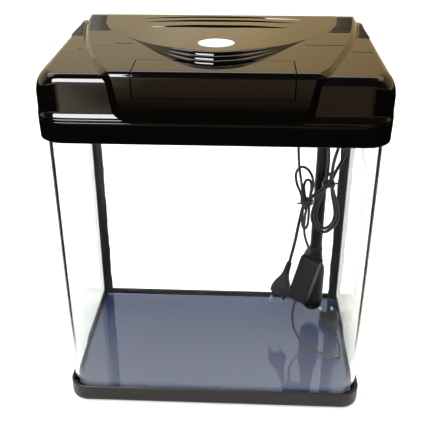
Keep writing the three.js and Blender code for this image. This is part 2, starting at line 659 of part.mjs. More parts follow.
// Side view of the plateau at one station of its edge: three steps up, then straight to the rear edge.
function plateauSection({ x, y }, t) {
  const share = plateauShare(x);
  const top = (at) => centreTop(at) + (PLATEAU_Z - centreTop(at)) * share + 0.1 - t;
  const foot = y + 1.3 * t;
  const run = PLATEAU_STEP_RUN * share + 0.2;
  const base = centreTop(y) - t;
  const rise = top(foot) - base;
  const back = FRAME_HALF_DEPTH - t;
  return [
    [foot, 430], [back, 430], [back, top(back)], [foot + run, top(foot + run)],
    [foot + 0.9 * run, base + 0.73 * rise], [foot + 0.45 * run, base + 0.68 * rise],
    [foot + 0.45 * run, base + 0.38 * rise], [foot, base + 0.33 * rise],
  ];
}

function plateauBody(t) {
  const right = PLATEAU_EDGE.getPoints(18);
  const left = right.slice(1).map((point) => new THREE.Vector2(-point.x, point.y)).reverse();
  const sections = [...left, ...right].map((station) => ({
    x: station.x,
    points: plateauSection(station, t).map(([y, z]) => new THREE.Vector2(y, z)),
  }));
  return loftAlongX(sections);
}

// The flap lies in the centre section, in front of the plateau, and wraps over the front edge.
function flapZone(clearance) {
  const half = FLAP_HALF_WIDTH + clearance;
  return block(-half, half, -140, FLAP_BACK_Y + clearance, FLAP_BOTTOM_Z - clearance, 480);
}

function flapAxisZ() {
  return centreTop(FLAP_AXIS_Y) - FLAP_AXIS_DEPTH;
}

// Round stub on the flap's axis, from inside the flap's end face outwards by a length.
function flapStub(side, radius, length) {
  const start = side > 0 ? FLAP_HALF_WIDTH - 1 : -FLAP_HALF_WIDTH - length;
  return bar(radius, length + 1, X, [start, FLAP_AXIS_Y, flapAxisZ()], 10);
}

// A long lens-shaped flute in the plateau.
function ventFlute(halfLength, y, bow, halfWidth) {
  const points = [];
  const count = 6;
  for (let i = -count; i < count; i += 1) {
    const u = i / count;
    points.push(new THREE.Vector2(halfLength * u, y - bow * (1 - u * u) - halfWidth * (1 - u * u)));
  }
  for (let i = count; i > -count; i -= 1) {
    const u = i / count;
    points.push(new THREE.Vector2(halfLength * u, y - bow * (1 - u * u) + halfWidth * (1 - u * u)));
  }
  return prism(points, PLATEAU_Z - 1.4, PLATEAU_Z + 5);
}
const FLUTES = [[108, 100, -10, 3.6], [99, 85, -1, 3.6], [90, 59, 8, 4.2]];

function hoodCover() {
  const outside = sideBody(0).add(centreBody(0));
  const inside = sideBody(COVER_WALL).add(centreBody(COVER_WALL));
  const plateau = plateauBody(0);
  let cover = outside.subtract(flapZone(FLAP_CLEARANCE)).add(plateau);
  cover = cover.subtract(inside).subtract(plateauBody(COVER_WALL));
  for (const flute of FLUTES) cover = cover.subtract(ventFlute(...flute));
  for (const side of [-1, 1]) {
    cover = cover.add(knuckle(side, 110.3, COVER_BOTTOM + 0.8, COVER_BOTTOM + 5).subtract(
      block(-200, 200, FRAME_HALF_DEPTH - 9, FRAME_HALF_DEPTH - 0.4, 380, COVER_BOTTOM),
    ));
    cover = cover.subtract(hingeBore(side)).subtract(flapStub(side, FLAP_PIN_RADIUS + GAP, 4.6));
  }
  const badgeSeat = bar(BADGE.radius + GAP, 3, Z, [0, BADGE.y, PLATEAU_Z - 0.8], 32);
  return cover.subtract(badgeSeat);
}
const BADGE = { radius: 20.5, y: -42 };

function feedingFlap() {
  const shell = centreBody(0).subtract(centreBody(COVER_WALL));
  let flap = shell.intersect(flapZone(0)).subtract(plateauNotch());
  for (const side of [-1, 1]) flap = flap.add(flapStub(side, FLAP_PIN_RADIUS, 4));
  return flap;
}

// Notch in the flap's rear edge that lets it swing up clear of the plateau's tip; its gap widens outwards.
function plateauNotch() {
  const right = PLATEAU_EDGE.getPoints(36).map(
    ({ x, y }) => new THREE.Vector2(x + NOTCH_CLEARANCE / 2, y - NOTCH_CLEARANCE - (x / 17.5) ** 2),
  );
  const left = right.map((point) => new THREE.Vector2(-point.x, point.y)).reverse();
  return prism([...left, ...right], 430, 480);
}
const NOTCH_CLEARANCE = 1.6;

function hingePin(side) {
  return bar(HINGE_PIN_RADIUS, 19, X, [side > 0 ? 100.5 : -119.5, HINGE_Y, HINGE_Z], 12);
}

function buildCover() {
  add('hood_cover', hoodCover(), 'glossBlack');
  add('hinge_pin_left', hingePin(-1), 'steel');
  add('hinge_pin_right', hingePin(1), 'steel');
  add('emblem_disc', bar(BADGE.radius, 1, Z, [0, BADGE.y, PLATEAU_Z - 0.5], 32), 'whitePlastic');
  add('feeding_flap', feedingFlap(), 'glossBlack');
}

// ---- leads, ties, driver and plugs --------------------------------------------------------
const TIE_L = { x: 119.3, y: 24, z: 231 };
const TIE_R = { x: 148.5, y: 38, z: 251 };
const BUNDLE = { halfWidth: 7, halfDepth: 6 };

// Loops above the left tie, as one flat hank.
function hankLeft() {
  const left = TIE_L.x - BUNDLE.halfWidth;
  const right = TIE_L.x + BUNDLE.halfWidth;
  const shape = new THREE.Shape();
  shape.moveTo(left, 222);
  shape.lineTo(right, 222);
  shape.lineTo(right, 240);
  shape.bezierCurveTo(129.5, 248, 130, 256, 129.5, 262);
  shape.bezierCurveTo(129, 274, 122, 283, 113.5, 283);
  shape.bezierCurveTo(105, 283, 101, 276, 101, 266);
  shape.bezierCurveTo(101, 256, 106, 248, left, 240);
  return alongY(shape, TIE_L.y - BUNDLE.halfDepth, TIE_L.y + BUNDLE.halfDepth);
}

// Loops below the right tie, as one flat hank.
function hankRight() {
  const left = TIE_R.x - BUNDLE.halfWidth;
  const right = TIE_R.x + BUNDLE.halfWidth;
  const shape = new THREE.Shape();
  shape.moveTo(right, 264);
  shape.lineTo(left, 264);
  shape.lineTo(left, 240);
  shape.bezierCurveTo(134, 232, 127, 220, 127, 204);
  shape.bezierCurveTo(127, 186, 136, 172.5, 148, 172.5);
  shape.bezierCurveTo(158, 172.5, 168, 188, 168, 207);
  shape.bezierCurveTo(168, 222, 163, 234, right, 240);
  return alongY(shape, TIE_R.y - BUNDLE.halfDepth, TIE_R.y + BUNDLE.halfDepth);
}

function tie({ x, y, z }) {
  const inner = slab(BUNDLE.halfWidth + GAP, BUNDLE.halfDepth + GAP, 0.4);
  const outer = slab(BUNDLE.halfWidth + 1.6, BUNDLE.halfDepth + 1.6, 2.5);
  return prism(outer, z - 3, z + 3).subtract(prism(inner, z - 4, z + 4)).translate([x, y, 0]);
}

const LEAD_ROUTES = {
  lamp_lead_upper: [
    [100, 30, 353.4], [101.5, 29, 335], [104.6, 27, 305], [106.6, 25.4, 290], [107.6, 25, 284.8],
  ],
  lamp_lead_lower: [
    [118.6, 21, 221], [116.8, 13.4, 206], [117.2, 4.6, 191], [120.6, -1.6, 181], [123.6, -2.9, 173.9],
  ],
  mains_lead_upper: [
    [170, 70, 353.4], [171.2, 67, 328], [171, 60, 295], [167, 53, 281], [160, 46.5, 272.5], [155.4, 43.2, 267.6],
  ],
  mains_lead_loop: [
    [145.4, 35.6, 264.6], [145.6, 35.6, 284], [144.2, 36, 304], [138.6, 37.4, 326], [140.6, 38, 340],
    [151, 38, 349.9], [161.4, 38, 340], [163.6, 37.4, 326], [157.4, 36, 304], [152.6, 35.6, 284],
    [151, 35.6, 264.6],
  ],
  mains_lead_cross: [[139.4, 36, 243.6], [134, 31, 241.2], [128.6, 26.4, 236.4]],
  mains_lead_lower: [
    [115, 26.6, 221], [113.6, 30, 206], [111.4, 35.6, 186], [109, 38, 166], [106.2, 38, 149],
    [103.9, 38, 136], [102.6, 38, 127.9],
  ],
  driver_lead: [
    [109.1, -7.5, 88.7], [107.7, -8, 82], [106.6, -8.8, 74], [107.2, -10, 60], [111.2, -13, 45],
    [119, -17, 33.4], [130, -22.6, 25.6], [142, -29, 22.2], [152, -36.4, 22], [161, -43.4, 22],
    [168.6, -43.6, 22], [174, -38, 22], [176, -28, 22.6], [175, -16, 24.6], [172.2, -6, 26.8],
    [171.1, 0.7, 27.2],
  ],
};

// In-line lamp driver: two half shells round a circuit board, hanging turned and tilted.
const DRIVER = { halfWidth: 13.5, halfDepth: 9.5, halfLength: 34, wall: 1.8 };

function driverGroup() {
  const group = new THREE.Group();
  group.position.set(120.7, -8.2, 130);
  group.rotation.set(0, THREE.MathUtils.degToRad(13.9), THREE.MathUtils.degToRad(-28), 'YXZ');
  return group;
}

function driverShell(front) {
  const { halfWidth, halfDepth, halfLength, wall } = DRIVER;
  const body = prism(slab(halfWidth, halfDepth, 2.5), -halfLength, halfLength);
  const hollow = prism(slab(halfWidth - wall, halfDepth - wall, 1), wall - halfLength, halfLength - wall);
  const half = front
    ? block(-20, 20, -20, 1.5 - GAP / 2, -50, 50)
    : block(-20, 20, 1.5 + GAP / 2, 20, -50, 50);
  return body.subtract(hollow).intersect(half);
}

function driverRelief(top) {
  const end = DRIVER.halfLength + GAP;
  const profile = [
    [0, end], [4.2, end], [4, end + 1.5], [3.2, end + 4], [3.6, end + 5], [2.6, end + 8], [0, end + 8],
  ];
  const relief = turned(profile, 0, 0, 14);
  return top ? relief.translate([-9, 1.2, 0]) : relief.rotate([180, 0, 0]).translate([-1.5, 0, 0]);
}

// Flat two-pin plug, drawn with its pins down: a wide pin end that narrows to the lead.
const PLUG = { halfWidth: 14, halfDepth: 6.8, pinGap: 17.6, pinLength: 19 };

function plugBody() {
  const { halfWidth, halfDepth, pinGap } = PLUG;
  const shape = new THREE.Shape();
  shape.moveTo(-halfWidth + 2, 0);
  shape.lineTo(halfWidth - 2, 0);
  shape.quadraticCurveTo(halfWidth, 0, halfWidth, 3);
  shape.lineTo(halfWidth, 9);
  shape.bezierCurveTo(halfWidth, 18, 6, 24, 5, 36);
  shape.lineTo(-5, 36);
  shape.bezierCurveTo(-6, 24, -halfWidth, 18, -halfWidth, 9);
  shape.lineTo(-halfWidth, 3);
  shape.quadraticCurveTo(-halfWidth, 0, -halfWidth + 2, 0);
  let body = alongY(shape, -halfDepth, halfDepth);
  body = body.add(turned([[0, 34], [5, 34], [4.6, 42], [4.6, 46], [3.4, 53], [0, 53]], 0, 0, 14));
  for (const side of [-1, 1]) body = body.subtract(bar(2 + GAP, 7, Z, [(side * pinGap) / 2, 0, -1], 14));
  return body;
}

function plugPin(side) {
  const tip = -PLUG.pinLength;
  const profile = [[0, tip], [1.4, tip], [2, tip + 1], [2, 5.6], [0, 5.6]];
  return turned(profile, (side * PLUG.pinGap) / 2, 0, 14);
}

function addPlug(name, group) {
  add(`${name}_plug`, plugBody(), 'cable', group);
  add(`${name}_plug_pin_left`, plugPin(-1), 'steel', group);
  add(`${name}_plug_pin_right`, plugPin(1), 'steel', group);
  model.add(group);
}

function buildLeads() {
  add('lamp_lead_hank', hankLeft(), 'cable');
  add('mains_lead_hank', hankRight(), 'cable');
  add('tie_left', tie(TIE_L), 'cable');
  add('tie_right', tie(TIE_R), 'cable');
  add('lamp_lead_upper', lead(LEAD_ROUTES.lamp_lead_upper, THIN_LEAD, 7), 'cable');
  add('lamp_lead_lower', lead(LEAD_ROUTES.lamp_lead_lower, THIN_LEAD, 7), 'cable');
  add('mains_lead_upper', lead(LEAD_ROUTES.mains_lead_upper, MAINS_LEAD, 8), 'cable');
  add('mains_lead_loop', lead(LEAD_ROUTES.mains_lead_loop, MAINS_LEAD, 20), 'cable');
  add('mains_lead_cross', lead(LEAD_ROUTES.mains_lead_cross, MAINS_LEAD, 2), 'cable');
  add('mains_lead_lower', lead(LEAD_ROUTES.mains_lead_lower, MAINS_LEAD, 8), 'cable');
  add('driver_lead', lead(LEAD_ROUTES.driver_lead, THIN_LEAD, 22), 'cable');

  const driver = driverGroup();
  add('driver_case_front', driverShell(true), 'satinBlack', driver);
  add('driver_case_back', driverShell(false), 'satinBlack', driver);
  add('driver_board', block(-10.5, 10.5, -1, 0.6, -30, 30), 'board', driver);
  add('driver_relief_top', driverRelief(true), 'rubber', driver);
  add('driver_relief_bottom', driverRelief(false), 'rubber', driver);
  model.add(driver);

  const hanging = new THREE.Group();
  hanging.position.set(90, 38, 76);
  hanging.rotation.set(0, THREE.MathUtils.degToRad(13.6), THREE.MathUtils.degToRad(-18), 'YXZ');
  addPlug('mains', hanging);

  const lying = new THREE.Group();
  lying.position.set(166.4, 54, 27.2);
  lying.rotation.set(THREE.MathUtils.degToRad(90), 0, THREE.MathUtils.degToRad(5), 'ZXY');
  addPlug('driver', lying);
}

buildTank();
buildHoodFrame();
buildPump();
buildCover();
buildLeads();

export default model;
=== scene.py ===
"""Hooded bent-glass aquarium: fine surfaces, finishes, leads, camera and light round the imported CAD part.

Lengths are in millimetres in the part's own frame (+X right, +Y back, +Z up, origin on the table) and are
turned into metres where a mesh or curve is made.
"""

import math
import random

import bmesh
import bpy
from mathutils import Matrix, Vector


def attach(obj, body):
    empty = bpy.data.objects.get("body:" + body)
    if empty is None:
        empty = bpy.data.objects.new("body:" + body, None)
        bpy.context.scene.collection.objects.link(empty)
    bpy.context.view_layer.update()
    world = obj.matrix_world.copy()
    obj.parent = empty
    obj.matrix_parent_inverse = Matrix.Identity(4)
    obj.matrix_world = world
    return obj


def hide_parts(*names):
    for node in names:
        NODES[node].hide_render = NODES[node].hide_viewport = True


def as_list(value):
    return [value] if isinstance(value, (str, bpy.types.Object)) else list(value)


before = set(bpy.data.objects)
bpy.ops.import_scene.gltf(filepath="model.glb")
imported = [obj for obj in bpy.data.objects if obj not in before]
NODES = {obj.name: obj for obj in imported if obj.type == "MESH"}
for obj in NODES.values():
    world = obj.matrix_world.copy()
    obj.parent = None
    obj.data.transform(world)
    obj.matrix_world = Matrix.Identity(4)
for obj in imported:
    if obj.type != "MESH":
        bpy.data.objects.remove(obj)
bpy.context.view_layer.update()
MM = 0.001
random.seed(7)


def added(piece):
    """The object, put in the scene."""
    bpy.context.scene.collection.objects.link(piece)
    return piece


# ---- camera ----
def make_camera():
    """A mild telephoto a little above the hood, looking down at the tank's front."""
    data = bpy.data.cameras.new("camera")
    data.sensor_width = 36.0
    data.lens = 56.9
    data.clip_end = 50.0
    camera = added(bpy.data.objects.new("camera", data))
    yaw, pitch = math.radians(-2.65), math.radians(-26.67)
    view = Vector((math.sin(yaw) * math.cos(pitch), math.cos(yaw) * math.cos(pitch), math.sin(pitch)))
    camera.location = (0.0313, -0.7975, 0.6227)
    camera.rotation_euler = view.to_track_quat("-Z", "Y").to_euler()
    bpy.context.scene.camera = camera


make_camera()


# ---- materials ----
def new_material(name):
    material = bpy.data.materials.new(name)
    material.use_nodes = True
    tree = material.node_tree
    return material, tree, tree.nodes["Principled BSDF"]


def fed(node, inputs):
    """The node with its inputs set: each takes a plain value or another node's output."""
    for key, value in inputs.items():
        if isinstance(value, bpy.types.NodeSocket):
            node.id_data.links.new(value, node.inputs[key])
        else:
            node.inputs[key].default_value = value
    return node


def new_node(tree, kind, inputs, **settings):
    node = tree.nodes.new("ShaderNode" + kind)
    for key, value in settings.items():
        setattr(node, key, value)
    return fed(node, inputs)


def noise(tree, scale, detail=4.0, stretch=(1, 1, 1)):
    """Noise in the piece's own space, in features per metre."""
    place = tree.nodes.new("ShaderNodeTexCoord").outputs["Object"]
    mapping = new_node(tree, "Mapping", {"Vector": place, "Scale": stretch})
    inputs = {"Vector": mapping.outputs["Vector"], "Scale": scale, "Detail": detail}
    return new_node(tree, "TexNoise", inputs).outputs["Fac"]


def spread(tree, source, low, high):
    """Maps the middle of a noise to the range low..high."""
    middle = {"Value": source, "From Min": 0.3, "From Max": 0.7, "To Min": low, "To Max": high}
    return new_node(tree, "MapRange", middle).outputs["Result"]


def blended(tree, fac, a, b, how="MIX"):
    """Colour a where fac is 0, colour b where it is 1."""
    inputs = {"Factor": fac, "A": a, "B": b}
    return new_node(tree, "Mix", inputs, data_type="RGBA", blend_type=how).outputs["Result"]


def tint(tree, source, low, high):
    """Two colours mixed by a 0..1 source."""
    return blended(tree, source, (*low, 1), (*high, 1))


def bump(tree, shader, source, distance):
    node = new_node(tree, "Bump", {"Height": source, "Distance": distance * MM, "Strength": 0.6})
    fed(shader, {"Normal": node.outputs["Normal"]})


def mix_shaders(tree, fac, first, second):
    """The surface shows the first shader where fac is 0 and the second where it is 1."""
    mix = new_node(tree, "MixShader", {"Fac": fac, 1: first, 2: second})
    fed(tree.nodes["Material Output"], {"Surface": mix.outputs["Shader"]})


def plastic(name, low, high, rough, grain=0.0, grain_scale=900.0, specular=0.5):
    """Moulded plastic or rubber: colour and roughness drift a little over the piece."""
    material, tree, shader = new_material(name)
    fed(shader, {
        "Base Color": tint(tree, spread(tree, noise(tree, 14.0), 0.0, 1.0), low, high),
        "Roughness": spread(tree, noise(tree, 160.0, 6.0), *rough),
        "Specular IOR Level": specular,
    })
    if grain:
        bump(tree, shader, noise(tree, grain_scale, 3.0), grain)
    return material


def metal(name, colour, rough):
    material, tree, shader = new_material(name)
    brushed = spread(tree, noise(tree, 500.0, 3.0, (1, 1, 0.1)), *rough)
    fed(shader, {"Base Color": (*colour, 1), "Metallic": 1.0, "Roughness": brushed})
    return material


def glass(name, colour):
    """Clear sheet glass; shadow rays pass straight through it, so what is inside stays lit."""
    material, tree, shader = new_material(name)
    fed(shader, {"Base Color": (*colour, 1), "Roughness": 0.0, "IOR": 1.46, "Transmission Weight": 1.0})
    through = new_node(tree, "BsdfTransparent", {"Color": (*colour, 1)})
    path = tree.nodes.new("ShaderNodeLightPath")
    mix_shaders(tree, path.outputs["Is Shadow Ray"], shader.outputs["BSDF"], through.outputs["BSDF"])
    return material


def sponge_material(name):
    """Open-cell foam: painted shade darkens the pores between the paler walls."""
    material, tree, shader = new_material(name)
    place = tree.nodes.new("ShaderNodeTexCoord").outputs["Object"]
    pore_shade_and_depth = new_node(tree, "TexVoronoi", {"Vector": place, "Scale": 700.0}).outputs["Distance"]
    # painted shade: the colour is darkest in each cell's middle, where the bump sinks the pores
    colour = tint(tree, pore_shade_and_depth, (0.012, 0.014, 0.018), (0.05, 0.055, 0.065))
    fed(shader, {"Base Color": colour, "Roughness": 0.95})
    bump(tree, shader, pore_shade_and_depth, 0.5)
    return material


GLOSS_BLACK = plastic("gloss_black", (0.0012, 0.0010, 0.0009), (0.0018, 0.0015, 0.0013), (0.03, 0.06))
SATIN_BLACK = plastic(
    "satin_black", (0.008, 0.0065, 0.0052), (0.013, 0.0105, 0.0085), (0.34, 0.46), 0.02, specular=0.3,
)
PUMP_BLACK = plastic(
    "pump_black", (0.003, 0.0028, 0.0025), (0.005, 0.0047, 0.0042), (0.30, 0.42), 0.03, specular=0.12,
)
CASE_BLACK = plastic(
    "case_black", (0.003, 0.0026, 0.0021), (0.005, 0.0043, 0.0036), (0.42, 0.55), 0.06, specular=0.12,
)
PLUG_BLACK = plastic(
    "plug_black", (0.005, 0.0048, 0.0045), (0.008, 0.0077, 0.0073), (0.32, 0.46), 0.03, specular=0.2,
)
CABLE_BLACK = plastic(
    "cable_black", (0.006, 0.0058, 0.0056), (0.010, 0.0096, 0.0092), (0.34, 0.48), 0.03, 420.0, 0.25,
)
RUBBER = plastic("rubber", (0.013, 0.013, 0.013), (0.022, 0.022, 0.021), (0.62, 0.8), 0.05)
SEAL_BLACK = plastic(
    "seal_black", (0.006, 0.0064, 0.007), (0.011, 0.0115, 0.012), (0.28, 0.45), 0.05, 260.0, 0.25,
)
WHITE_PLASTIC = plastic("white_plastic", (0.74, 0.76, 0.78), (0.82, 0.83, 0.84), (0.32, 0.45), 0.02)
BOARD_WHITE = plastic("board_white", (0.80, 0.80, 0.77), (0.88, 0.88, 0.86), (0.4, 0.6))
CERAMIC = plastic("ceramic", (0.80, 0.77, 0.70), (0.86, 0.84, 0.78), (0.2, 0.32))
BLUE_FILM = plastic("blue_film", (0.010, 0.016, 0.056), (0.015, 0.022, 0.070), (0.35, 0.5), specular=0.15)
EMBLEM = plastic("emblem_face", (0.62, 0.70, 0.78), (0.72, 0.79, 0.86), (0.16, 0.26))
STEEL = metal("steel", (0.62, 0.61, 0.58), (0.18, 0.34))
GLASS = glass("sheet_glass", (0.97, 0.99, 0.98))
LENS = glass("lens_clear", (0.93, 0.96, 0.98))
SPONGE = sponge_material("filter_foam")


# ---- mesh helpers ----
SMALLEST_RADIUS = 0.01
SHARP_ANGLE = math.radians(35)


def link(name, mesh, material, body, replaced=()):
    """Puts a finished mesh in the scene, on its body, in place of the CAD nodes it stands for."""
    mesh.name = name
    mesh.materials.clear()
    mesh.materials.append(material)
    piece = added(bpy.data.objects.new(name, mesh))
    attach(piece, body)
    if replaced:
        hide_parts(*replaced)
    return piece


def smooth(mesh):
    for polygon in mesh.polygons:
        polygon.use_smooth = True
    mesh.set_sharp_from_angle(angle=SHARP_ANGLE)
    return mesh


def weighted(piece):
    """Large flat faces keep their own normal beside narrow rounded edges."""
    modifier = piece.modifiers.new("weighted", "WEIGHTED_NORMAL")
    modifier.keep_sharp = True
    return piece


def mesh_from(points, faces):
    """A mesh in metres from points in millimetres, with its faces turned outwards."""
    mesh = bpy.data.meshes.new("mesh")
    mesh.from_pydata([Vector(p) * MM for p in points], [], faces)
    form = bmesh.new()
    form.from_mesh(mesh)
    bmesh.ops.remove_doubles(form, verts=form.verts, dist=1e-7)
    bmesh.ops.recalc_face_normals(form, faces=form.faces)
    return finished(form, mesh)


def loft(rings, around=False):
    """Rings of equal point count joined in order; the ends are closed, or the last joined to the first."""
    count = len(rings[0])
    points = [p for row in rings for p in row]
    faces = []
    levels = len(rings) if around else len(rings) - 1
    for level in range(levels):
        low, high = level * count, ((level + 1) % len(rings)) * count
        for i in range(count):
            j = (i + 1) % count
            faces.append((low + i, low + j, high + j, high + i))
    if not around:
        faces.append(tuple(range(count)))
        faces.append(tuple(range((len(rings) - 1) * count, len(rings) * count)))
    return mesh_from(points, faces)


def finished(form, mesh):
    """The mesh, filled from an edited form."""
    form.to_mesh(mesh)
    form.free()
    return smooth(mesh)


def joined(meshes):
    """Several meshes as one."""
    form = bmesh.new()
    for mesh in meshes:
        form.from_mesh(mesh)
    return finished(form, bpy.data.meshes.new("joined"))


def moved(mesh, matrix):
    mesh.transform(matrix)
    return mesh


def placed(x, y, z, *turns):
    """A placing matrix; turns are (degrees, axis), the first outermost."""
    matrix = Matrix.Translation(Vector((x, y, z)) * MM)
    for degrees, axis in turns:
        matrix = matrix @ Matrix.Rotation(math.radians(degrees), 4, axis)
    return matrix


def cut(mesh, cutters):
    """The mesh with closed cutter meshes taken away."""
    target = added(bpy.data.objects.new("cut_target", mesh))
    helpers = []
    for cutter in cutters:
        helper = added(bpy.data.objects.new("cutter", cutter))
        helpers.append(helper)
        modifier = target.modifiers.new("cut", "BOOLEAN")
        modifier.operation = "DIFFERENCE"
        modifier.solver = "EXACT"
        modifier.object = helper
    graph = bpy.context.evaluated_depsgraph_get()
    result = bpy.data.meshes.new_from_object(target.evaluated_get(graph))
    for piece in [target, *helpers]:
        bpy.data.objects.remove(piece)
    return smooth(result)


def box(low, high, radius=0.0, segments=3):
    """A block with every edge rounded."""
    form = bmesh.new()
    bmesh.ops.create_cube(form, size=1.0)
    for vertex in form.verts:
        for axis in range(3):
            vertex.co[axis] = (low[axis] if vertex.co[axis] < 0 else high[axis]) * MM
    if radius:
        bmesh.ops.bevel(
            form, geom=form.edges[:], offset=radius * MM, segments=segments, profile=0.5, affect="EDGES",
        )
    return finished(form, bpy.data.meshes.new("box"))


def turned(profile, x=0.0, y=0.0, segments=48):
    """A closed turned piece about the vertical line through (x, y); profile is (radius, height) pairs."""
    rings = []
    for radius, z in profile:
        r = max(radius, SMALLEST_RADIUS)
        angles = [2 * math.pi * i / segments for i in range(segments)]
        rings.append([(x + r * math.cos(a), y + r * math.sin(a), z) for a in angles])
    hollow = profile[0] == profile[-1]
    return loft(rings[:-1], around=True) if hollow else loft(rings)


def outline(half, front, back, front_radius, back_radius, steps=16):
    """Rounded plan outline as (x, y, nx, ny) points, counter-clockwise from the front right corner."""
    corners = [
        (half - front_radius, front + front_radius, front_radius, -90),
        (half - back_radius, back - back_radius, back_radius, 0),
        (back_radius - half, back - back_radius, back_radius, 90),
        (front_radius - half, front + front_radius, front_radius, 180),
    ]
    points = []
    for x, y, radius, start in corners:
        for i in range(steps + 1):
            angle = math.radians(start + 90 * i / steps)
            nx, ny = math.cos(angle), math.sin(angle)
            points.append((x + radius * nx, y + radius * ny, nx, ny))
    return points


def ring(points, inset, height):
    """One loft ring: the outline moved in by inset, at height; either may be a function of the point."""
    out = []
    for x, y, nx, ny in points:
        e = inset(x, y, nx, ny) if callable(inset) else inset
        px, py = x - e * nx, y - e * ny
        out.append((px, py, height(x, y, px, py, nx, ny) if callable(height) else height))
    return out


def stacked(points, profile):
    """Loft rings of one outline; the profile is (inset, height) pairs."""
    return [ring(points, e, z) for e, z in profile]


def quarter(steps):
    """(1 - cos, 1 - sin) pairs of a quarter turn, for a rounded edge."""
    angles = [math.pi / 2 * i / steps for i in range(steps + 1)]
    return [(1 - math.cos(a), 1 - math.sin(a)) for a in angles]


# ---- leads ----
MAINS_LEAD = 4.5
THIN_LEAD = 3.5

LAMP_ROUTE = [
    (100, 30, 353.5), (101.5, 29, 335), (104.4, 27, 305), (106.6, 24.6, 281), (110, 22.3, 262), (113, 20.8, 244),
    (114.4, 20.4, 231), (114.5, 20.6, 215), (115.1, 20.8, 200), (116.4, 21, 193.4), (118.9, 21, 191),
    (121.4, 21, 193.6), (122.6, 20.9, 200), (122.9, 20.8, 215), (122.8, 20.6, 231), (124, 21.6, 243),
    (126.4, 23, 256), (123.8, 24.4, 268.5), (117.4, 25.2, 277.4), (110.4, 25.6, 280.2), (105.1, 25.8, 276),
    (103, 26, 267), (105.4, 25.8, 254.5), (110.4, 25, 243), (113.6, 24.4, 231), (115.2, 24.4, 223.4),
    (118.6, 24.6, 219.6), (122, 24.8, 223.4), (123, 24.9, 231), (124, 25.8, 243), (124.4, 26.8, 253),
    (121.4, 27.2, 261), (117, 27, 260), (114.7, 26.4, 252.5), (115.7, 25, 243), (118.2, 22.7, 231),
    (118.9, 20, 221), (117.7, 16.6, 212), (116.8, 11.6, 203), (117.2, 4.6, 192), (120, -0.6, 182.5),
    (123.1, -2.7, 175.4), (123.7, -2.9, 173.1),
]
MAINS_ROUTE = [
    (170, 70, 353.5), (170.6, 69.2, 342), (171.3, 67, 328), (171, 60, 295), (167, 53, 281), (160.5, 46.8, 271),
    (155.6, 43.2, 261.6), (153, 41.9, 251), (157, 41, 236), (162.6, 40, 217), (165, 39.5, 202), (161, 39.5, 187),
    (149, 39.6, 176.6), (137, 40, 182.4), (130, 40.3, 197), (131, 40.6, 212), (137, 41, 231), (143.4, 41.6, 249),
    (144.6, 41.2, 258), (148.4, 40, 264.8), (152.2, 38.4, 259), (153, 37.4, 250), (154, 36.4, 238),
    (158, 35.4, 221), (160.1, 35, 206), (157.2, 35, 193), (148.6, 35, 185), (140.2, 35.2, 188.4),
    (134.6, 35.4, 200), (135, 35.6, 214), (139.4, 36.2, 233), (143.8, 36.8, 250), (145.3, 36, 264.6),
    (145.6, 35.6, 284), (144.2, 36, 304), (139.6, 37.4, 325), (141.6, 38, 340), (151, 38, 349.6),
    (160.4, 38, 340), (162.6, 37.4, 325), (157.4, 36, 304), (152.8, 35.2, 284), (151, 34.2, 265),
    (148.6, 33.6, 252.6), (143.4, 33.6, 245.4), (135.4, 32, 241), (128, 29.6, 236.6), (121.4, 28.2, 230.4),
    (115.6, 28.2, 221.4), (113.4, 31, 206), (111.2, 35.6, 186), (109, 38, 166), (106.3, 38, 149),
    (103.9, 38, 136), (102.5, 38, 127.7),
]
DRIVER_ROUTE = [
    (109.2, -7.5, 89.1), (107.8, -8, 82), (106.7, -8.8, 74), (107.2, -10, 60), (111.2, -13, 45), (119, -17, 33.4),
    (130, -22.6, 25.6), (142, -29, 22.3), (152, -36, 22), (160, -41.4, 22), (168, -42.6, 22), (173.8, -37.6, 22),
    (175.8, -28, 22.7), (175, -16, 24.7), (172.3, -6, 26.7), (171, 0.9, 27.2),
]
PUMP_LEAD_Y = 75.15
PUMP_ROUTE = [(141, PUMP_LEAD_Y, z) for z in (124.3, 180, 240, 300, 368.7)]


def between(a, b, start, end, t):
    """The point on the line from a at start to b at end."""
    return a * ((end - t) / (end - start)) + b * ((t - start) / (end - start))


def smooth_path(points, spacing=2.0):
    """Catmull-Rom points along the route, close together, and their whole length."""
    knots = [Vector(p) for p in points]
    padded = [2 * knots[0] - knots[1], *knots, 2 * knots[-1] - knots[-2]]
    out = []
    for i in range(1, len(padded) - 2):
        p0, p1, p2, p3 = padded[i - 1 : i + 3]
        t1 = (p1 - p0).length ** 0.5
        t2 = t1 + (p2 - p1).length ** 0.5
        t3 = t2 + (p3 - p2).length ** 0.5
        steps = max(1, round((p2 - p1).length / spacing))
        for k in range(steps):
            t = t1 + (t2 - t1) * k / steps
            a1 = between(p0, p1, 0, t1, t)
            a2 = between(p1, p2, t1, t2, t)
            a3 = between(p2, p3, t2, t3, t)
            b1 = between(a1, a2, 0, t2, t)
            b2 = between(a2, a3, t1, t3, t)
            out.append(between(b1, b2, t1, t2, t))
    out.append(knots[-1])
    length = sum((b - a).length for a, b in zip(out, out[1:]))
    return out, length


def wire(name, points, radius, resolution):
    """A round wire through close points in millimetres, on the hood."""
    data = bpy.data.curves.new(name, "CURVE")
    data.dimensions = "3D"
    data.bevel_depth = radius * MM
    data.bevel_resolution = resolution
    data.use_fill_caps = True
    spline = data.splines.new("POLY")
    spline.points.add(len(points) - 1)
    for target, point in zip(spline.points, points):
        target.co = (*(point * MM), 1)
    data.materials.append(CABLE_BLACK)
    piece = added(bpy.data.objects.new(name, data))
    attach(piece, "hood")
    return piece


def lead(name, route, diameter, replaced):
    """A round lead along its route, and its length in metres."""
    points, length = smooth_path(route)
    piece = wire(name, points, diameter / 2, 5)
    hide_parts(*replaced)
    return piece, length * MM


# ---- plugs, driver and ties ----
PLUG_HALF_WIDTH = 14
PLUG_HALF_DEPTH = 6.6
PLUG_CORNER = 4.4
PLUG_PIN_OFFSET = 8.8


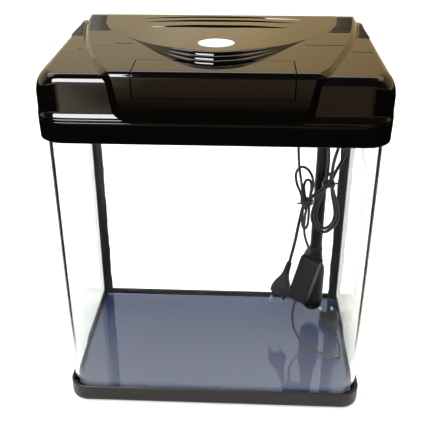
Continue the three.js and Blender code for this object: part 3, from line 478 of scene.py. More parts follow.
def plug_section(half, depth, corner, z, inset=0.0):
    return ring(outline(half, -depth, depth, corner, corner, 8), inset, z)


def plug_body():
    """Flat two-pin plug drawn pins down: a wide pin end that narrows to a ribbed relief."""
    rings = []
    for z, inset in ((0.0, 1.4), (0.4, 0.6), (1.4, 0.05), (2.4, 0.0)):
        rings.append(plug_section(PLUG_HALF_WIDTH, PLUG_HALF_DEPTH, PLUG_CORNER, z, inset))
    for i in range(13):
        t = i / 12
        half = PLUG_HALF_WIDTH - 8.8 * (3 * t * t - 2 * t**3)
        depth = PLUG_HALF_DEPTH - 1.4 * t
        corner = min(PLUG_CORNER, depth - 0.1, half - 0.1)
        rings.append(plug_section(half, depth, corner, 7 + 28 * t))
    rings.append(plug_section(5.0, 5.0, 4.95, 36.2))
    for i in range(5):
        z = 37.0 + 3.0 * i
        waist, rib_radius = 3.5 - 0.1 * i, 4.7 - 0.2 * i
        for radius, lift in ((waist, 0), (waist, 0.8), (rib_radius, 1.0), (rib_radius, 2.6)):
            rings.append(plug_section(radius, radius, radius, z + lift))
    rings += [plug_section(2.9, 2.9, 2.9, z) for z in (52.0, 53.0)]
    return loft(rings)


def plug_ridges():
    """Two raised grip bars on each broad face of a plug."""
    bars = []
    for side in (-1, 1):
        for z in (14.0, 17.4, 20.8):
            half = 6.4 - (z - 14) * 0.32
            middle = side * 6.2
            bars.append(box((-half, middle - 0.75, z), (half, middle + 0.75, z + 1.5), 0.55))
    return joined(bars)


def plug(name, matrix):
    """Plug body, and for each pin its insulating sleeve and its metal tip."""
    body = moved(joined([plug_body(), plug_ridges()]), matrix)
    pieces = [link(name, body, PLUG_BLACK, "hood", [name])]
    for label, side in (("left", -1), ("right", 1)):
        x = side * PLUG_PIN_OFFSET
        sleeve = turned([(0, -9.4), (1.9, -9.4), (2.0, -9.1), (2.0, 1.5), (0, 1.5)], x, 0, 24)
        pieces.append(link(f"{name}_sleeve_{label}", moved(sleeve, matrix), PLUG_BLACK, "hood"))
        tip = turned([(0, -19), (1.0, -18.9), (1.6, -18.4), (1.9, -17.6), (1.95, -9.5), (0, -9.5)], x, 0, 24)
        pin = f"{name}_pin_{label}"
        pieces.append(link(f"{pin}_tip", moved(tip, matrix), STEEL, "hood", [pin]))
    return pieces


DRIVER_END = 34.3
DRIVER_PLACE = placed(120.7, -8.2, 130, (13.9, "Y"), (-28, "Z"))
MAINS_PLUG_PLACE = placed(90, 38, 76, (13.6, "Y"), (-18, "Z"))
DRIVER_PLUG_PLACE = placed(166.4, 54, 27.2, (5, "Z"), (90, "X"))


def relief(x, y, turn):
    """Ribbed strain relief on one end of the driver."""
    shape = [(0, 0), (4.2, 0), (4.2, 1.2), (3.0, 1.6), (3.0, 2.4), (3.9, 2.7), (3.8, 3.6), (2.8, 3.9),
             (2.8, 4.7), (3.5, 5.0), (3.4, 5.9), (2.5, 6.2), (2.4, 8), (0, 8)]
    mesh = turned([(radius, DRIVER_END + z) for radius, z in shape], 0, 0, 32)
    return moved(mesh, DRIVER_PLACE @ placed(x, y, 0, (turn, "X")))


def driver():
    """In-line lamp driver: two half shells with a seam, a raised label panel left blank, two reliefs."""
    label = box((-9.5, -9.9, -24), (9.5, -8.5, 20), 0.35)
    front = moved(joined([box((-13.5, -9.5, -34), (13.5, 1.35, 34), 2.2, 4), label]), DRIVER_PLACE)
    back = moved(box((-13.5, 1.65, -34), (13.5, 9.5, 34), 2.2, 4), DRIVER_PLACE)
    return [
        weighted(link("driver_front", front, CASE_BLACK, "hood", ["driver_case_front"])),
        weighted(link("driver_back", back, CASE_BLACK, "hood", ["driver_case_back"])),
        link("driver_gland_top", relief(-9, 1.2, 0), RUBBER, "hood", ["driver_relief_top"]),
        link("driver_gland_bottom", relief(-1.5, 0, 180), RUBBER, "hood", ["driver_relief_bottom"]),
    ]


TIE_WIRE_RADIUS = 0.6
TWIST_STEPS = 24
TWIST_TURNS = 2.5


def strap(name, x, y, z, node, tail):
    """Twist tie: a flat band round the bundle and its twisted ends."""
    outer = outline(8.4, -7.4, 7.4, 4.4, 4.4, 8)
    rings = [ring(outer, e, z + h) for e, h in [(0.3, -3), (0, -2.6), (0, 2.6), (0.3, 3), (1.3, 3), (1.3, -3)]]
    band = moved(loft(rings, around=True), placed(x, y, 0))
    link(name, band, CABLE_BLACK, "hood", [node])
    start, end = Vector(tail[0]), Vector(tail[1])
    run = end - start
    across = run.cross(Vector((0, 0, 1))).normalized()
    up = across.cross(run).normalized()
    for number, phase in enumerate((0.0, math.pi)):
        points = []
        for i in range(TWIST_STEPS + 1):
            t = i / TWIST_STEPS
            angle = phase + TWIST_TURNS * 2 * math.pi * t
            flare = 0.7 + 1.6 * max(0.0, t - 0.75)
            point = start + run * t + across * (flare * math.cos(angle))
            points.append(point + up * (flare * math.sin(angle)))
        wire(f"{name}_end_{number}", points, TIE_WIRE_RADIUS, 3)


def build_leads():
    driver_pieces = driver()
    mains_plug = plug("mains_plug", MAINS_PLUG_PLACE)
    driver_plug = plug("driver_plug", DRIVER_PLUG_PLACE)
    lamp, lamp_length = lead(
        "lamp_cable", LAMP_ROUTE, THIN_LEAD, ["lamp_lead_upper", "lamp_lead_lower", "lamp_lead_hank"],
    )
    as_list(driver_pieces[2:3])
    mains, mains_length = lead(
        "mains_cable", MAINS_ROUTE, MAINS_LEAD,
        ["mains_lead_upper", "mains_lead_loop", "mains_lead_cross", "mains_lead_lower", "mains_lead_hank"],
    )
    tail, tail_length = lead("driver_cable", DRIVER_ROUTE, THIN_LEAD, ["driver_lead"])
    lead("pump_cable", PUMP_ROUTE, MAINS_LEAD, ["pump_lead"])
    strap("tie_band_left", 119.3, 24, 231, "tie_left", [(113, 17, 231), (106.5, 13, 233)])
    strap("tie_band_right", 148.5, 38, 251, "tie_right", [(155, 34, 252), (159.5, 29, 256)])


build_leads()


# ---- tank ----
GLASS_HALF = 186.3
GLASS_LOW = 13.3
GLASS_HIGH = 372
GROUND_EDGE = 0.5


def base_tray():
    rim = outline(190, -120, 120, 24, 12, 20)
    profile = [(3.6, 1.5), (1.9, 1.6), (1.1, 2.0), (0.6, 2.8), (0.15, 4.2), (0, 6), (0, 22.6), (0.2, 23.4),
               (0.7, 23.9), (1.3, 24), (2.3, 24), (2.8, 23.7), (3, 23.1), (3, 13.4), (3.4, 13)]
    weighted(link("base_moulding", loft(stacked(rim, profile)), SATIN_BLACK, "tank", ["base_tray"]))


def feet():
    """A rubber pad under each corner."""
    profile = [(0, 0), (7.8, 0), (8.6, 0.3), (9, 1.0), (9, 2.7), (0, 2.7)]
    for row, y in (("front", -92), ("back", 92)):
        for side, x in (("left", -160), ("right", 160)):
            node = f"foot_{row}_{side}"
            link(f"{node}_pad", turned(profile, x, y), RUBBER, "tank", [node])


def tank_glass():
    """Front and sides are one sheet bent round the front corners; edges are ground."""
    outer = outline(GLASS_HALF, -116.3, 116.3, 26.5, 1.0, 24)
    right = [p for p in outer if p[0] > 0 and p[1] < 0]
    left = [p for p in outer if p[0] < 0 and p[1] < 0]
    line = [(-GLASS_HALF, 108.5, -1, 0), *left, *right, (GLASS_HALF, 108.5, 1, 0)]
    low, high = GLASS_LOW + GROUND_EDGE, GLASS_HIGH - GROUND_EDGE
    profile = [(0.5, GLASS_LOW), (0, low), (0, high), (0.5, GLASS_HIGH), (3.5, GLASS_HIGH), (4, high), (4, low),
               (3.5, GLASS_LOW)]
    rings = [[(x - e * nx, y - e * ny, z) for e, z in profile] for x, y, nx, ny in line]
    weighted(link("glass_bent_sheet", loft(rings), GLASS, "tank", ["bent_glass"]))
    back = box((-GLASS_HALF, 112, GLASS_LOW), (GLASS_HALF, 116, GLASS_HIGH), GROUND_EDGE, 2)
    weighted(link("glass_back_sheet", back, GLASS, "tank", ["back_glass"]))
    plate = outline(182, -112, 108.2, 22.2, 1, 16)
    profile = [(0.5, 15), (0, 15.5), (0, 19.5), (0.5, 20)]
    mesh = loft(stacked(plate, profile))
    weighted(link("glass_bottom_plate", mesh, GLASS, "tank", ["bottom_glass"]))


def corner_seal(side, name, node):
    """Silicone bead up a back corner: a gunned, slightly wavy inside face."""
    inside, foot, top = 183.5, 20.3, 371.7
    rings = []
    steps = 60
    for i in range(steps + 1):
        z = foot + (top - foot) * i / steps
        wave = 0.35 * math.sin(z * 0.09 + side) + 0.25 * math.sin(z * 0.23 + 2 * side)
        wave += random.uniform(-0.12, 0.12)
        reach = 11.2 + wave
        section = [(188.6, 107.6), (188.6, 111.7), (inside - reach, 111.7), (inside - reach + 0.4, 110.8)]
        for k in range(7):
            t = k / 6
            x = inside - reach + 1.4 + (reach - 2.2) * (1 - (1 - t) ** 2.2)
            y = 110.4 - (reach - 3.4) * t**2.2
            section.append((x, y))
        section += [(inside - 0.2, 98.9 - wave), (inside, 99.4 - wave), (inside, 107.6)]
        rings.append([(side * x, y, z) for x, y in section])
    link(name, loft(rings), SEAL_BLACK, "tank", [node])


base_tray()
feet()
tank_glass()
corner_seal(-1, "seal_bead_left", "corner_seal_left")
corner_seal(1, "seal_bead_right", "corner_seal_right")


# ---- hood frame ----
HOOD_HALF = 194
HOOD_BACK = 125
HOOD_WALL = 3
KNUCKLE_LENGTH = 9.7


def hood_outline(inset, steps):
    """Plan outline of the hood, moved in by inset."""
    back = HOOD_BACK - inset
    return outline(HOOD_HALF - inset, -back, back, 34 - inset, 14 - inset, steps)


def hood_band():
    """Glossy band with its inner ledge, the skirt over the glass and the rear hinge barrels."""
    band = hood_outline(0, 24)
    skirt = outline(187.5, -117.5, 117.2, 27.7, 2, 24)
    mouth = outline(176, -106, 106, 12, 12, 24)
    inner = hood_outline(HOOD_WALL, 24)
    rings = stacked(band, [(1.1, 364), (0.7, 364.3), (0.5, 365), (0.1, 379), (0, 380.5), (0, 387.2),
                           (0.25, 387.8), (0.8, 388)])
    rings += stacked(inner, [(-0.4, 388), (0, 387.6), (0, 375.3)])
    rings += stacked(mouth, [(-0.4, 375.3), (0, 374.9), (0, 372.7), (-0.4, 372.3)])
    rings += stacked(skirt, [(0, 372.3), (0, 364.5), (-0.5, 364)])
    parts = [loft(rings, around=True)]
    parts += [box((x - 5, -107, 372.3), (x + 5, 107, 375.3), 0.4) for x in (-155, 126)]
    parts += knuckles((100, -109.7), 382, 386.5)
    weighted(link("hood_band", joined(parts), GLOSS_BLACK, "hood", ["hood_frame"]))


def barrel(start, length, radius=2.8, y=128.2, z=388.2):
    """Hinge barrel along X."""
    inner = radius - 0.3
    profile = [(0, 0), (inner, 0), (radius, 0.3), (radius, length - 0.3), (inner, length), (0, length)]
    return moved(turned(profile, 0, 0, 28), placed(start, y, z, (90, "Y")))


def knuckles(starts, low, high):
    """Hinge barrels, each with a web between two heights that joins it to the wall."""
    pieces = []
    for start in starts:
        pieces.append(barrel(start, KNUCKLE_LENGTH))
        pieces.append(box((start, 124, low), (start + KNUCKLE_LENGTH, 129, high), 0.4))
    return pieces


def glands():
    """The tapered relief that each lead hangs from."""
    for lead_name, route, diameter in (("lamp", LAMP_ROUTE, THIN_LEAD), ("mains", MAINS_ROUTE, MAINS_LEAD)):
        x, y, _ = route[0]
        r = diameter / 2
        profile = [(0, 353.7), (r + 0.7, 353.7), (r + 1.0, 354.2), (r + 2.2, 363.7), (r + 2.6, 364.4),
                   (r + 2.6, 368.7), (0, 368.7)]
        gland = turned(profile, x, y, 32)
        link(f"gland_{lead_name}", gland, RUBBER, "hood", [f"{lead_name}_lead_gland"])


RISER_X = 141
RISER_Y = 60
STRAINER_SLOTS = 16


def bowl(radius, middle, order):
    """Quarter circle profile points below a middle height; order picks tenths of the quarter."""
    angles = [math.pi / 2 * i / 10 for i in order]
    return [(radius * math.sin(a), middle - radius * math.cos(a)) for a in angles]


def strainer():
    """Round-ended cup with upright slots."""
    cup = [(0, 34.5), *bowl(15, 49.5, range(1, 11)), (15, 61.6), (14.6, 62), (13, 62), (13, 49.5),
           *bowl(13, 49.5, range(9, 0, -1)), (0, 36.5)]
    slots = []
    for i in range(STRAINER_SLOTS):
        place = placed(RISER_X, RISER_Y, 0, (360 * (i + 0.5) / STRAINER_SLOTS, "Z"))
        slots.append(moved(box((9, -1.0, 42), (20, 1.0, 57), 0.9), place))
    return cut(turned(cup, RISER_X, RISER_Y), [joined(slots)])


def pump():
    """Riser, coupling, pump and strainer, turned about the riser's line."""
    tube = [(6.5, 117.3), (8.2, 117.3), (8.5, 117.6), (8.5, 399.7), (8.2, 400), (6.5, 400), (6.5, 117.3)]
    sleeve = [(8.8, 117.6), (9.7, 117.6), (10.7, 119.6), (10.7, 126.2), (9.9, 127.6), (9.7, 128.4),
              (9.7, 140.6), (9.3, 142.4), (8.7, 143), (8.8, 117.6)]
    motor = [(0, 62.3), (14.6, 62.3), (15, 62.7), (15, 66), (14.6, 66.4), (14.6, 67.2), (15, 67.6),
             (15, 103.6), (14.7, 106), (13.8, 109.6), (12.4, 112.8), (11, 115), (9.5, 116.8), (6.2, 117),
             (6.2, 134), (0, 134)]
    for name, profile, node in (("riser_pipe", tube, "riser_tube"), ("riser_sleeve", sleeve, "riser_coupling"),
                                ("pump_motor", motor, "pump_body")):
        link(name, turned(profile, RISER_X, RISER_Y), PUMP_BLACK, "hood", [node])
    link("pump_basket", strainer(), PUMP_BLACK, "hood", ["pump_strainer"])
    seat = [(0, 115.4), (3.6, 115.4), (3.5, 116.4), (2.9, 116.8), (2.9, 117.6), (3.4, 118), (3.3, 119.2),
            (2.8, 119.6), (2.8, 123.6), (2.5, 124), (0, 124)]
    gland = turned(seat, RISER_X, PUMP_LEAD_Y, 28)
    link("pump_cable_gland", gland, RUBBER, "hood", ["pump_lead_gland"])


hood_band()
glands()
pump()


# ---- hood cover ----
SIDE_FRONT = -121.0
SIDE_FRONT_Z = 438
SIDE_SLOPE = 10.0 / 246.0
CENTRE_FRONT_Z = 443
CENTRE_SLOPE = 12.0 / 250.0
CENTRE_BACK_HALF = 175
CENTRE_NARROWING = 59
SEAM_Z = 388.4
LEDGE_Z = 391.2
LEDGE_RISE = 6.2


def side_top(y):
    return SIDE_FRONT_Z + SIDE_SLOPE * (y - SIDE_FRONT)


def centre_top(y):
    return CENTRE_FRONT_Z + CENTRE_SLOPE * (y + HOOD_BACK)


def clamped(value):
    return min(1.0, max(0.0, value))


def eased(value):
    """Smooth step from 0 to 1."""
    t = clamped(value)
    return t * t * (3 - 2 * t)


def front_lip(y):
    """0 on the top of the centre section, 1 on its front face."""
    return eased((-100 - y) / 25)


def centre_half_width(y, z):
    """Half width of the centre section's flat; it narrows to the front and down the front face."""
    drop = max(0.0, CENTRE_FRONT_Z - z)
    narrowing = CENTRE_NARROWING * (max(0.0, HOOD_BACK - y) / 242) ** 1.5
    return CENTRE_BACK_HALF - narrowing - 0.205 * drop - 5.2 * front_lip(y)


def centre_draft(y, z):
    """How far the foot of the centre section's sloping side stands outside its flat."""
    drop = max(0.0, CENTRE_FRONT_Z - z)
    return 2.4 + 3.4 * clamped((y + 90) / 90) + front_lip(y) * (6.4 + 0.075 * drop)


def centre_depth(y):
    """How deep the centre section's sloping side reaches; it grows to the back."""
    return 5.8 + 2.4 * clamped((y + HOOD_BACK) / (2 * HOOD_BACK))


def mixed(nx, ny, front, side, back):
    """A value for an outline point that faces (nx, ny), from the values for the front, sides and back."""
    share = max(0.0, -ny) ** 2, nx**2, max(0.0, ny) ** 2
    return (front * share[0] + side * share[1] + back * share[2]) / sum(share)


def stand_back(x, y, nx, ny):
    """How far the side sections' wall stands back above the ledge."""
    return mixed(nx, ny, 4.0, 0.5, 1.0)


def shoulder(y, nx, ny):
    """How far in the top edge's rounding reaches."""
    return mixed(nx, ny, 9.0, 12.5 + 5.0 * clamped((60 - y) / 170), 3.0)


def shoulder_drop(nx, ny):
    """How far down the top edge's rounding reaches."""
    return mixed(nx, ny, 9.0, 28.0, 3.0)


def top_edge(wall, steps, thickness):
    """Rings up the rounded top edge, at a thickness inside the outer surface."""
    rings = []
    for out_part, down_part in quarter(steps):
        def inset(x, y, nx, ny, k=out_part):
            return stand_back(x, y, nx, ny) + thickness + shoulder(y, nx, ny) * k

        def height(x, y, px, py, nx, ny, k=down_part):
            return side_top(py) - thickness - (shoulder_drop(nx, ny) - thickness) * k

        rings.append(ring(wall, inset, height))
    return rings


def side_shell():
    """Side sections and back wall as one hollow shell: stepped foot, rolled front edge, round shoulders."""
    wall = hood_outline(0, 28)
    outer = stacked(wall, [(0.4, SEAM_Z), (0, 388.8), (0, 390.6), (0.2, LEDGE_Z)])
    for t in (0.25, 0.5, 0.75):
        z = LEDGE_Z + LEDGE_RISE * t**1.5
        outer.append(ring(wall, lambda x, y, nx, ny, t=t: t * stand_back(x, y, nx, ny), z))
    outer.append(ring(wall, stand_back, 398.4))
    outer += top_edge(wall, 14, 0)
    inner = top_edge(wall, 8, HOOD_WALL)[::-1]
    inner.append(ring(wall, lambda x, y, nx, ny: stand_back(x, y, nx, ny) + HOOD_WALL, 398))
    inner += stacked(wall, [(HOOD_WALL, 391), (HOOD_WALL, 388.6), (2.6, SEAM_Z)])
    return loft(inner + outer)


EDGE_START_Z = 436
EDGE_RUN = 7


def front_path(bottom, back, front=-125.15, steps=9):
    """Side view of the centre section from the bottom of its front, over the rounded edge, to the back."""
    path = []
    straight = EDGE_START_Z - bottom
    levels = max(2, round(straight / 8))
    for i in range(levels + 1):
        path.append((front, bottom + straight * i / levels, -1.0, 0.0))
    start, corner = Vector((front, EDGE_START_Z)), Vector((front, CENTRE_FRONT_Z))
    end = Vector((front + EDGE_RUN, centre_top(front + EDGE_RUN)))
    for i in range(1, steps + 1):
        t = i / steps
        point = start * (1 - t) ** 2 + corner * 2 * t * (1 - t) + end * t * t
        tangent = (corner - start) * (1 - t) + (end - corner) * t
        tangent.normalize()
        path.append((point.x, point.y, -tangent.y, tangent.x))
    stations = max(2, round((back - end.x) / 6))
    for i in range(1, stations + 1):
        y = end.x + (back - end.x) * i / stations
        path.append((y, centre_top(y), -CENTRE_SLOPE, 1.0))
    return path


def bent_plate(path, half_width, depth, edge, draft=None, steps=5):
    """A plate that follows a side-view path, with rounded long edges and, with a draft, sloping sides."""
    rings = []
    for y, z, ny, nz in path:
        half = half_width(y, z)
        deep = depth(y) if callable(depth) else depth
        out = draft(y, z) if draft else 0.0
        turn = math.atan2(deep, out)
        right = [(half - edge + edge * math.sin(a), edge * (1 - math.cos(a)))
                 for a in (turn * i / steps for i in range(steps + 1))]
        right.append((half + out, deep))
        left = [(-x, d) for x, d in reversed(right)]
        rings.append([(x, y - ny * d, z - nz * d) for x, d in left + right])
    return loft(rings)


PLATEAU_Z = 455.0
PLATEAU_EDGE = [
    (0, -97), (22, -91.5), (45, -73.5), (67, -47), (84, -22.5), (100, 0.5), (112, 15), (124, 29.5), (135.5, 48),
    (145.5, 79), (151, 116),
]


def plateau_edge(spacing=3.0):
    """Plan points of the plateau's front edge from its left end over the tip to its right end."""
    right, _ = smooth_path([(x, y, 0) for x, y in PLATEAU_EDGE], spacing)
    half = [(p.x, p.y) for p in right]
    return [(-x, y) for x, y in reversed(half[1:])] + half


def plateau_share(x):
    """1 along the plateau's middle, 0 where it has run out into the centre section's top."""
    return 1 - eased((abs(x) - 25) / 90)


def plateau_top(x, y):
    return centre_top(y) + (PLATEAU_Z - centre_top(y)) * plateau_share(x) + 0.1


PLATEAU_RUN = 15.6
PLATEAU_BACK = 124.7
SKIRT = 2.4


def plateau():
    """Crowned plateau with a front of three rounded steps that shrink away to its sides."""
    sections = []
    for x, front in plateau_edge():
        share = plateau_share(x)
        run = PLATEAU_RUN * share + 0.2
        base = centre_top(front)
        rise = plateau_top(x, front + run) - base
        section = [(front, base - SKIRT)]
        for number in range(3):
            for i in range(7):
                angle = math.pi / 2 * i / 6
                along = front + run * (number + 0.94 * (1 - math.cos(angle))) / 3
                section.append((along, base + rise * (number + math.sin(angle)) / 3))
        section[-1] = (front + run, plateau_top(x, front + run))
        for i in range(1, 9):
            y = front + run + (PLATEAU_BACK - front - run) * i / 8
            section.append((y, plateau_top(x, y)))
        section.append((PLATEAU_BACK, centre_top(PLATEAU_BACK) - SKIRT))
        sections.append([(x, y, z) for y, z in section])
    return loft(sections)


FLUTES = ((108, 101, -9, 5.6), (99, 84.5, -1, 6.8), (90, 58, 8, 8.6))
BADGE_Y = -42
FLAP_GAP_HALF = 85.3
FLAP_HALF = 84.6
FLAP_BACK = -80.4
FLAP_PIN_Y = -81.9
FLAP_PIN_RADIUS = 0.8
NOTCH_GAP = 1.6


def flute_cutter(half_length, y, bow, half_width):
    """Long lens-shaped channel that follows the plateau's top, with a steep back wall."""
    rings = []
    for lift, back in ((3.0, 1.0), (0.0, 1.0), (-0.5, 0.93), (-3.0, 0.74)):
        edge = []
        count = 28
        for side, span in ((-1, range(-count, count)), (back, range(count, -count, -1))):
            for i in span:
                u = i / count
                lens = 1 - u * u
                px = half_length * u
                py = y - bow * lens + side * half_width * lens
                edge.append((px, py, plateau_top(px, py) + lift * (0.2 + 0.8 * lens if lift < 0 else 1)))
        rings.append(edge)
    return loft(rings)


def flute_cutters():
    return [flute_cutter(*flute) for flute in FLUTES]


def badge_seat():
    """Cutter for the shallow seat of the disc."""
    return turned([(0, 454.3), (20.8, 454.3), (20.8, 457), (0, 457)], 0, BADGE_Y, 72)


def flap_opening():
    """Cutter for the space that the flap fills."""
    return box((-FLAP_GAP_HALF, -140, 415.3), (FLAP_GAP_HALF, -79.7, 480))


def hood_cover():
    """Side shell, raised centre section and plateau, with the hinge knuckles."""
    shell = cut(side_shell(), [flap_opening()])
    centre = bent_plate(front_path(388.6, 124.4), centre_half_width, centre_depth, 1.6, centre_draft)
    centre = cut(centre, [flap_opening(), *flute_cutters()])
    crown = cut(plateau(), [*flute_cutters(), badge_seat()])
    mesh = joined([shell, centre, crown, *knuckles((110.3, -120), 389.2, 393.4)])
    weighted(link("cover_shell", mesh, GLOSS_BLACK, "cover", ["hood_cover"]))


def flap_notch():
    """Cutter behind the flap's rear edge: the plateau's tip with a gap that widens outwards."""
    right = [(x + 0.8, y - NOTCH_GAP - (x / 17.5) ** 2) for x, y in plateau_edge(1.5) if x >= 0]
    line = [(-x, y) for x, y in reversed(right)] + right
    return loft([[(x, y, z) for x, y in line] for z in (420, 480)])


def feeding_flap():
    """Flap that wraps over the front edge, notched round the plateau's tip, on two stub pins."""
    plate = bent_plate(front_path(416.0, FLAP_BACK), lambda y, z: FLAP_HALF, 3.0, 0.9)
    plate = cut(plate, [flap_notch()])
    pin_z = centre_top(FLAP_PIN_Y) - 1.5
    pins = [barrel(start, 5.0, FLAP_PIN_RADIUS, FLAP_PIN_Y, pin_z) for start in (83.6, -88.6)]
    weighted(link("flap_plate", joined([plate, *pins]), GLOSS_BLACK, "flap", ["feeding_flap"]))


CREASE = (0.7, 0.5, 0.3, 0.29)
RIB = (1.2, 0.6, 0.7, 0.5)


def bar(x0, x1, y, z, half, sunk, proud, rounding):
    """Low bar along X on a top."""
    return box((min(x0, x1), y - half, z - sunk), (max(x0, x1), y + half, z + proud), rounding)


def plateau_half_width(y):
    """Where the plateau's edge crosses a transverse line."""
    return max(x for x, edge_y in plateau_edge() if edge_y <= y)


def creases():
    """A fine line across each side section and each side of the centre section."""
    lines = []
    for side in (-1, 1):
        lines.append(bar(side * 99, side * 146, -16.5, centre_top(-16.5), *CREASE))
        foot = centre_half_width(-22, centre_top(-22)) + 8
        lines.append(bar(side * foot, side * 178, -22, side_top(-22), *CREASE))
    link("cover_creases", joined(lines), GLOSS_BLACK, "cover")


def louvres():
    """Fine ribs at the back corners: on the centre section beside the plateau, and on the side sections."""
    bars = []
    for side in (-1, 1):
        for i in range(13):
            y = 43 + i * 6.0
            top = centre_top(y)
            half = centre_half_width(y, top)
            bars.append(bar(side * (plateau_half_width(y) + 1.5), side * (half - 3.2), y, top, *RIB))
            if y < 108:
                foot = half + centre_draft(y, top) + 0.4
                bars.append(bar(side * foot, side * (184.5 - 0.012 * (y - 43)), y, side_top(y), *RIB))
    link("cover_louvres", joined(bars), SATIN_BLACK, "cover")


def badge():
    """Plain pale disc with a fine rim, let into the plateau."""
    profile = [(0, 454.5), (20.4, 454.5), (20.5, 454.7), (20.5, 455.3), (20.1, 455.5), (19.4, 455.5),
               (19.1, 455.3), (0, 455.3)]
    link("badge_disc", turned(profile, 0, BADGE_Y, 72), EMBLEM, "cover", ["emblem_disc"])


hood_cover()
feeding_flap()
creases()
louvres()
badge()


# ---- finishes of the CAD pieces that are kept ----
KEPT = (
    (BLUE_FILM, "bottom_film"), (LENS, "lamp_lens"), (CERAMIC, "impeller_shaft"), (GLOSS_BLACK, "filter_tray"),
    (SPONGE, "filter_sponge"), (WHITE_PLASTIC, "lamp_housing", "pump_impeller"),
    (BOARD_WHITE, "lamp_board", "driver_board"), (PUMP_BLACK, "cable_bracket", "riser_elbow", "riser_clip"),
    (STEEL, "lamp_screw_left", "lamp_screw_right", "hinge_pin_left", "hinge_pin_right"),
)
for material, *nodes in KEPT:
    for node in nodes:
        NODES[node].data.materials.clear()
        NODES[node].data.materials.append(material)


# ---- stage and light ----
FLOOR_SIZE = 14
UNLIT = (0.006, 0.005, 0.004)
BLACK = (0, 0, 0)
WHITE = (1, 1, 1)
TWO_SHEETS = 2.5


def direction_ramp(tree, source, low, high, stops):
    """Colour along a measured value; stops are (value, colour)."""
    scale = new_node(tree, "MapRange", {"Value": source, "From Min": low, "From Max": high})
    node = new_node(tree, "ValToRGB", {"Fac": scale.outputs["Result"]})
    elements = node.color_ramp.elements
    elements.remove(elements[-1])
    for number, (value, colour) in enumerate(stops):
        at = (value - low) / (high - low)
        element = elements[0] if number == 0 else elements.new(at)
        element.position = at
        element.color = (*colour, 1)
    return node.outputs["Color"]


def measured(tree, operation, a, b=0.0):
    """One step of arithmetic on sockets or numbers."""
    return new_node(tree, "Math", {0: a, 1: b}, operation=operation).outputs["Value"]


def position(tree, output):
    """X, Y and Z of a texture coordinate."""
    place = tree.nodes.new("ShaderNodeTexCoord").outputs[output]
    parts = new_node(tree, "SeparateXYZ", {"Vector": place}).outputs
    return parts["X"], parts["Y"], parts["Z"]


def mirrored_colour(tree, x, y):
    """What polished fronts mirror: dark near the object, warm further off, brighter to the left."""
    far = -FLOOR_SIZE / 2
    plain = direction_ramp(tree, y, far, 0.0, [
        (far, (0.30, 0.21, 0.13)), (-1.75, (0.44, 0.31, 0.18)), (-1.55, (0.34, 0.24, 0.14)), (-1.36, UNLIT),
        (0.0, UNLIT)])
    lit = direction_ramp(tree, y, far, 0.0, [
        (far, (0.9, 0.8, 0.66)), (-1.64, (1.65, 1.42, 1.15)), (-1.55, (0.9, 0.75, 0.55)), (-1.43, UNLIT),
        (0.0, UNLIT)])
    left = direction_ramp(tree, x, -1.0, 0.0, [(-0.62, WHITE), (-0.30, BLACK)])
    return blended(tree, left, plain, lit)


def mirrored_share(tree, x, y):
    """1 for mirrored rays that meet the floor in front of the object or well to its sides."""
    ahead = direction_ramp(tree, y, -1.0, 0.0, [(-0.34, WHITE), (-0.13, BLACK)])
    away = measured(tree, "ADD", measured(tree, "ABSOLUTE", x), measured(tree, "MULTIPLY", y, -0.32))
    aside = direction_ramp(tree, away, 0.0, 1.0, [(0.24, BLACK), (0.32, WHITE)])
    path = tree.nodes.new("ShaderNodeLightPath")
    near_side = measured(tree, "LESS_THAN", path.outputs["Transmission Depth"], TWO_SHEETS)
    mirrored = measured(tree, "MULTIPLY", path.outputs["Is Glossy Ray"], near_side)
    return measured(tree, "MULTIPLY", mirrored, measured(tree, "MAXIMUM", ahead, aside))


def make_floor():
    """White table; what polished surfaces mirror in front of the object is a dark, warm room."""
    bpy.ops.mesh.primitive_plane_add(size=FLOOR_SIZE, location=(0, 0, 0))
    floor = bpy.context.object
    floor.name = "floor"
    material, tree, shader = new_material("floor_white")
    fed(shader, {"Base Color": (0.86, 0.86, 0.85, 1), "Roughness": 0.9, "Specular IOR Level": 0.0,
                 "Emission Color": (*WHITE, 1), "Emission Strength": 0.36})
    x, y, _ = position(tree, "Object")
    room = new_node(tree, "Emission", {"Color": mirrored_colour(tree, x, y)})
    mix_shaders(tree, mirrored_share(tree, x, y), shader.outputs["BSDF"], room.outputs["Emission"])
    floor.data.materials.append(material)


def area_light(name, place, aim, size, power, colour, reflected=False, lights=True):
    """A soft box; reflected says whether polished surfaces mirror it, lights whether it lights matt ones."""
    data = bpy.data.lights.new(name, "AREA")
    data.shape = "RECTANGLE"
    data.size, data.size_y = size
    data.energy = power
    data.color = colour
    light = added(bpy.data.objects.new(name, data))
    light.location = place
    light.rotation_euler = (Vector(aim) - Vector(place)).to_track_quat("-Z", "Y").to_euler()
    light.visible_glossy = reflected
    light.visible_diffuse = lights
    light.visible_transmission = False
    light.visible_camera = False


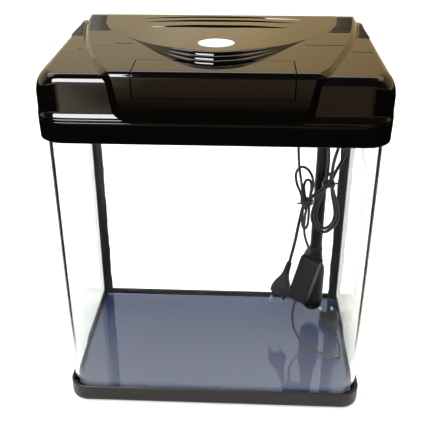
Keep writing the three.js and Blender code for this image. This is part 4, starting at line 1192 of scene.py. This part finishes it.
def wall_colour(tree, x, z):
    """The room behind by height, a warm wall with a bright cool band above it, warmer to the right."""
    by_height = height_ramp(tree, z, [
        (-4, (1.0, 1.0, 0.97)), (3, (0.95, 0.80, 0.52)), (22, (0.95, 0.78, 0.50)), (34, (0.75, 0.68, 0.60)),
        (36.6, (0.7, 0.7, 0.72)), (37.8, (3.0, 3.0, 3.3)), (52, (3.0, 3.0, 3.3)), (58, (0.4, 0.38, 0.36)),
        (70, (0.03, 0.026, 0.022))])
    across = direction_ramp(tree, x, -1.0, 1.0, [
        (-0.34, (0.92, 0.88, 0.84)), (-0.14, (1.0, 0.96, 0.92)), (0.06, (0.98, 0.86, 0.68)),
        (0.26, (0.70, 0.58, 0.41))])
    return blended(tree, 1.0, by_height, across, "MULTIPLY")


def height_ramp(tree, z, stops):
    """Colour by the direction's height; stops are (degrees above level, colour)."""
    return direction_ramp(tree, z, -1.0, 1.0, [(math.sin(math.radians(angle)), c) for angle, c in stops])


def seen_directly(tree):
    """1 for rays that reach the room straight from the camera, or through two sheets of glass."""
    path = tree.nodes.new("ShaderNodeLightPath")
    unscattered = measured(tree, "LESS_THAN", path.outputs["Diffuse Depth"], 0.5)
    far_side = measured(tree, "GREATER_THAN", path.outputs["Transmission Depth"], TWO_SHEETS)
    through_glass = measured(tree, "MULTIPLY", far_side, unscattered)
    return measured(tree, "MAXIMUM", path.outputs["Is Camera Ray"], through_glass)


def make_world():
    """White where it is seen directly; otherwise a lit wall behind and a dark room in front."""
    world = bpy.data.worlds.new("studio")
    bpy.context.scene.world = world
    world.use_nodes = True
    tree = world.node_tree
    x, y, z = position(tree, "Generated")
    back = wall_colour(tree, x, z)
    front = height_ramp(tree, z, [(-4, UNLIT), (0, (0.07, 0.06, 0.05)), (60, (0.03, 0.026, 0.022))])
    facing = direction_ramp(tree, y, -1.0, 1.0, [(-0.15, BLACK), (0.15, WHITE)])
    seen = blended(tree, seen_directly(tree), blended(tree, facing, front, back), (*WHITE, 1))
    fed(tree.nodes["Background"], {"Color": seen})


def make_lights():
    area_light("top_fill", (0.2, 0.3, 2.6), (0, 0.1, 0), (2.6, 2.6), 105, (1.0, 0.98, 0.95))
    area_light("front_fill", (0.4, -2.4, 1.8), (0, 0, 0.2), (1.6, 1.2), 22, (1.0, 0.97, 0.92))
    area_light("left_fill", (-1.7, -0.9, 1.35), (-0.15, -0.1, 0.4), (0.9, 1.3), 26, (0.86, 0.92, 1.0))
    area_light("window", (-1.58, -2.25, 1.6), (-1.58, -0.1, 0.42), (2.12, 1.9), 278, (0.93, 0.96, 1.0),
               reflected=True, lights=False)


make_floor()
make_world()
make_lights()
bpy.context.scene.view_settings.view_transform = "Standard"
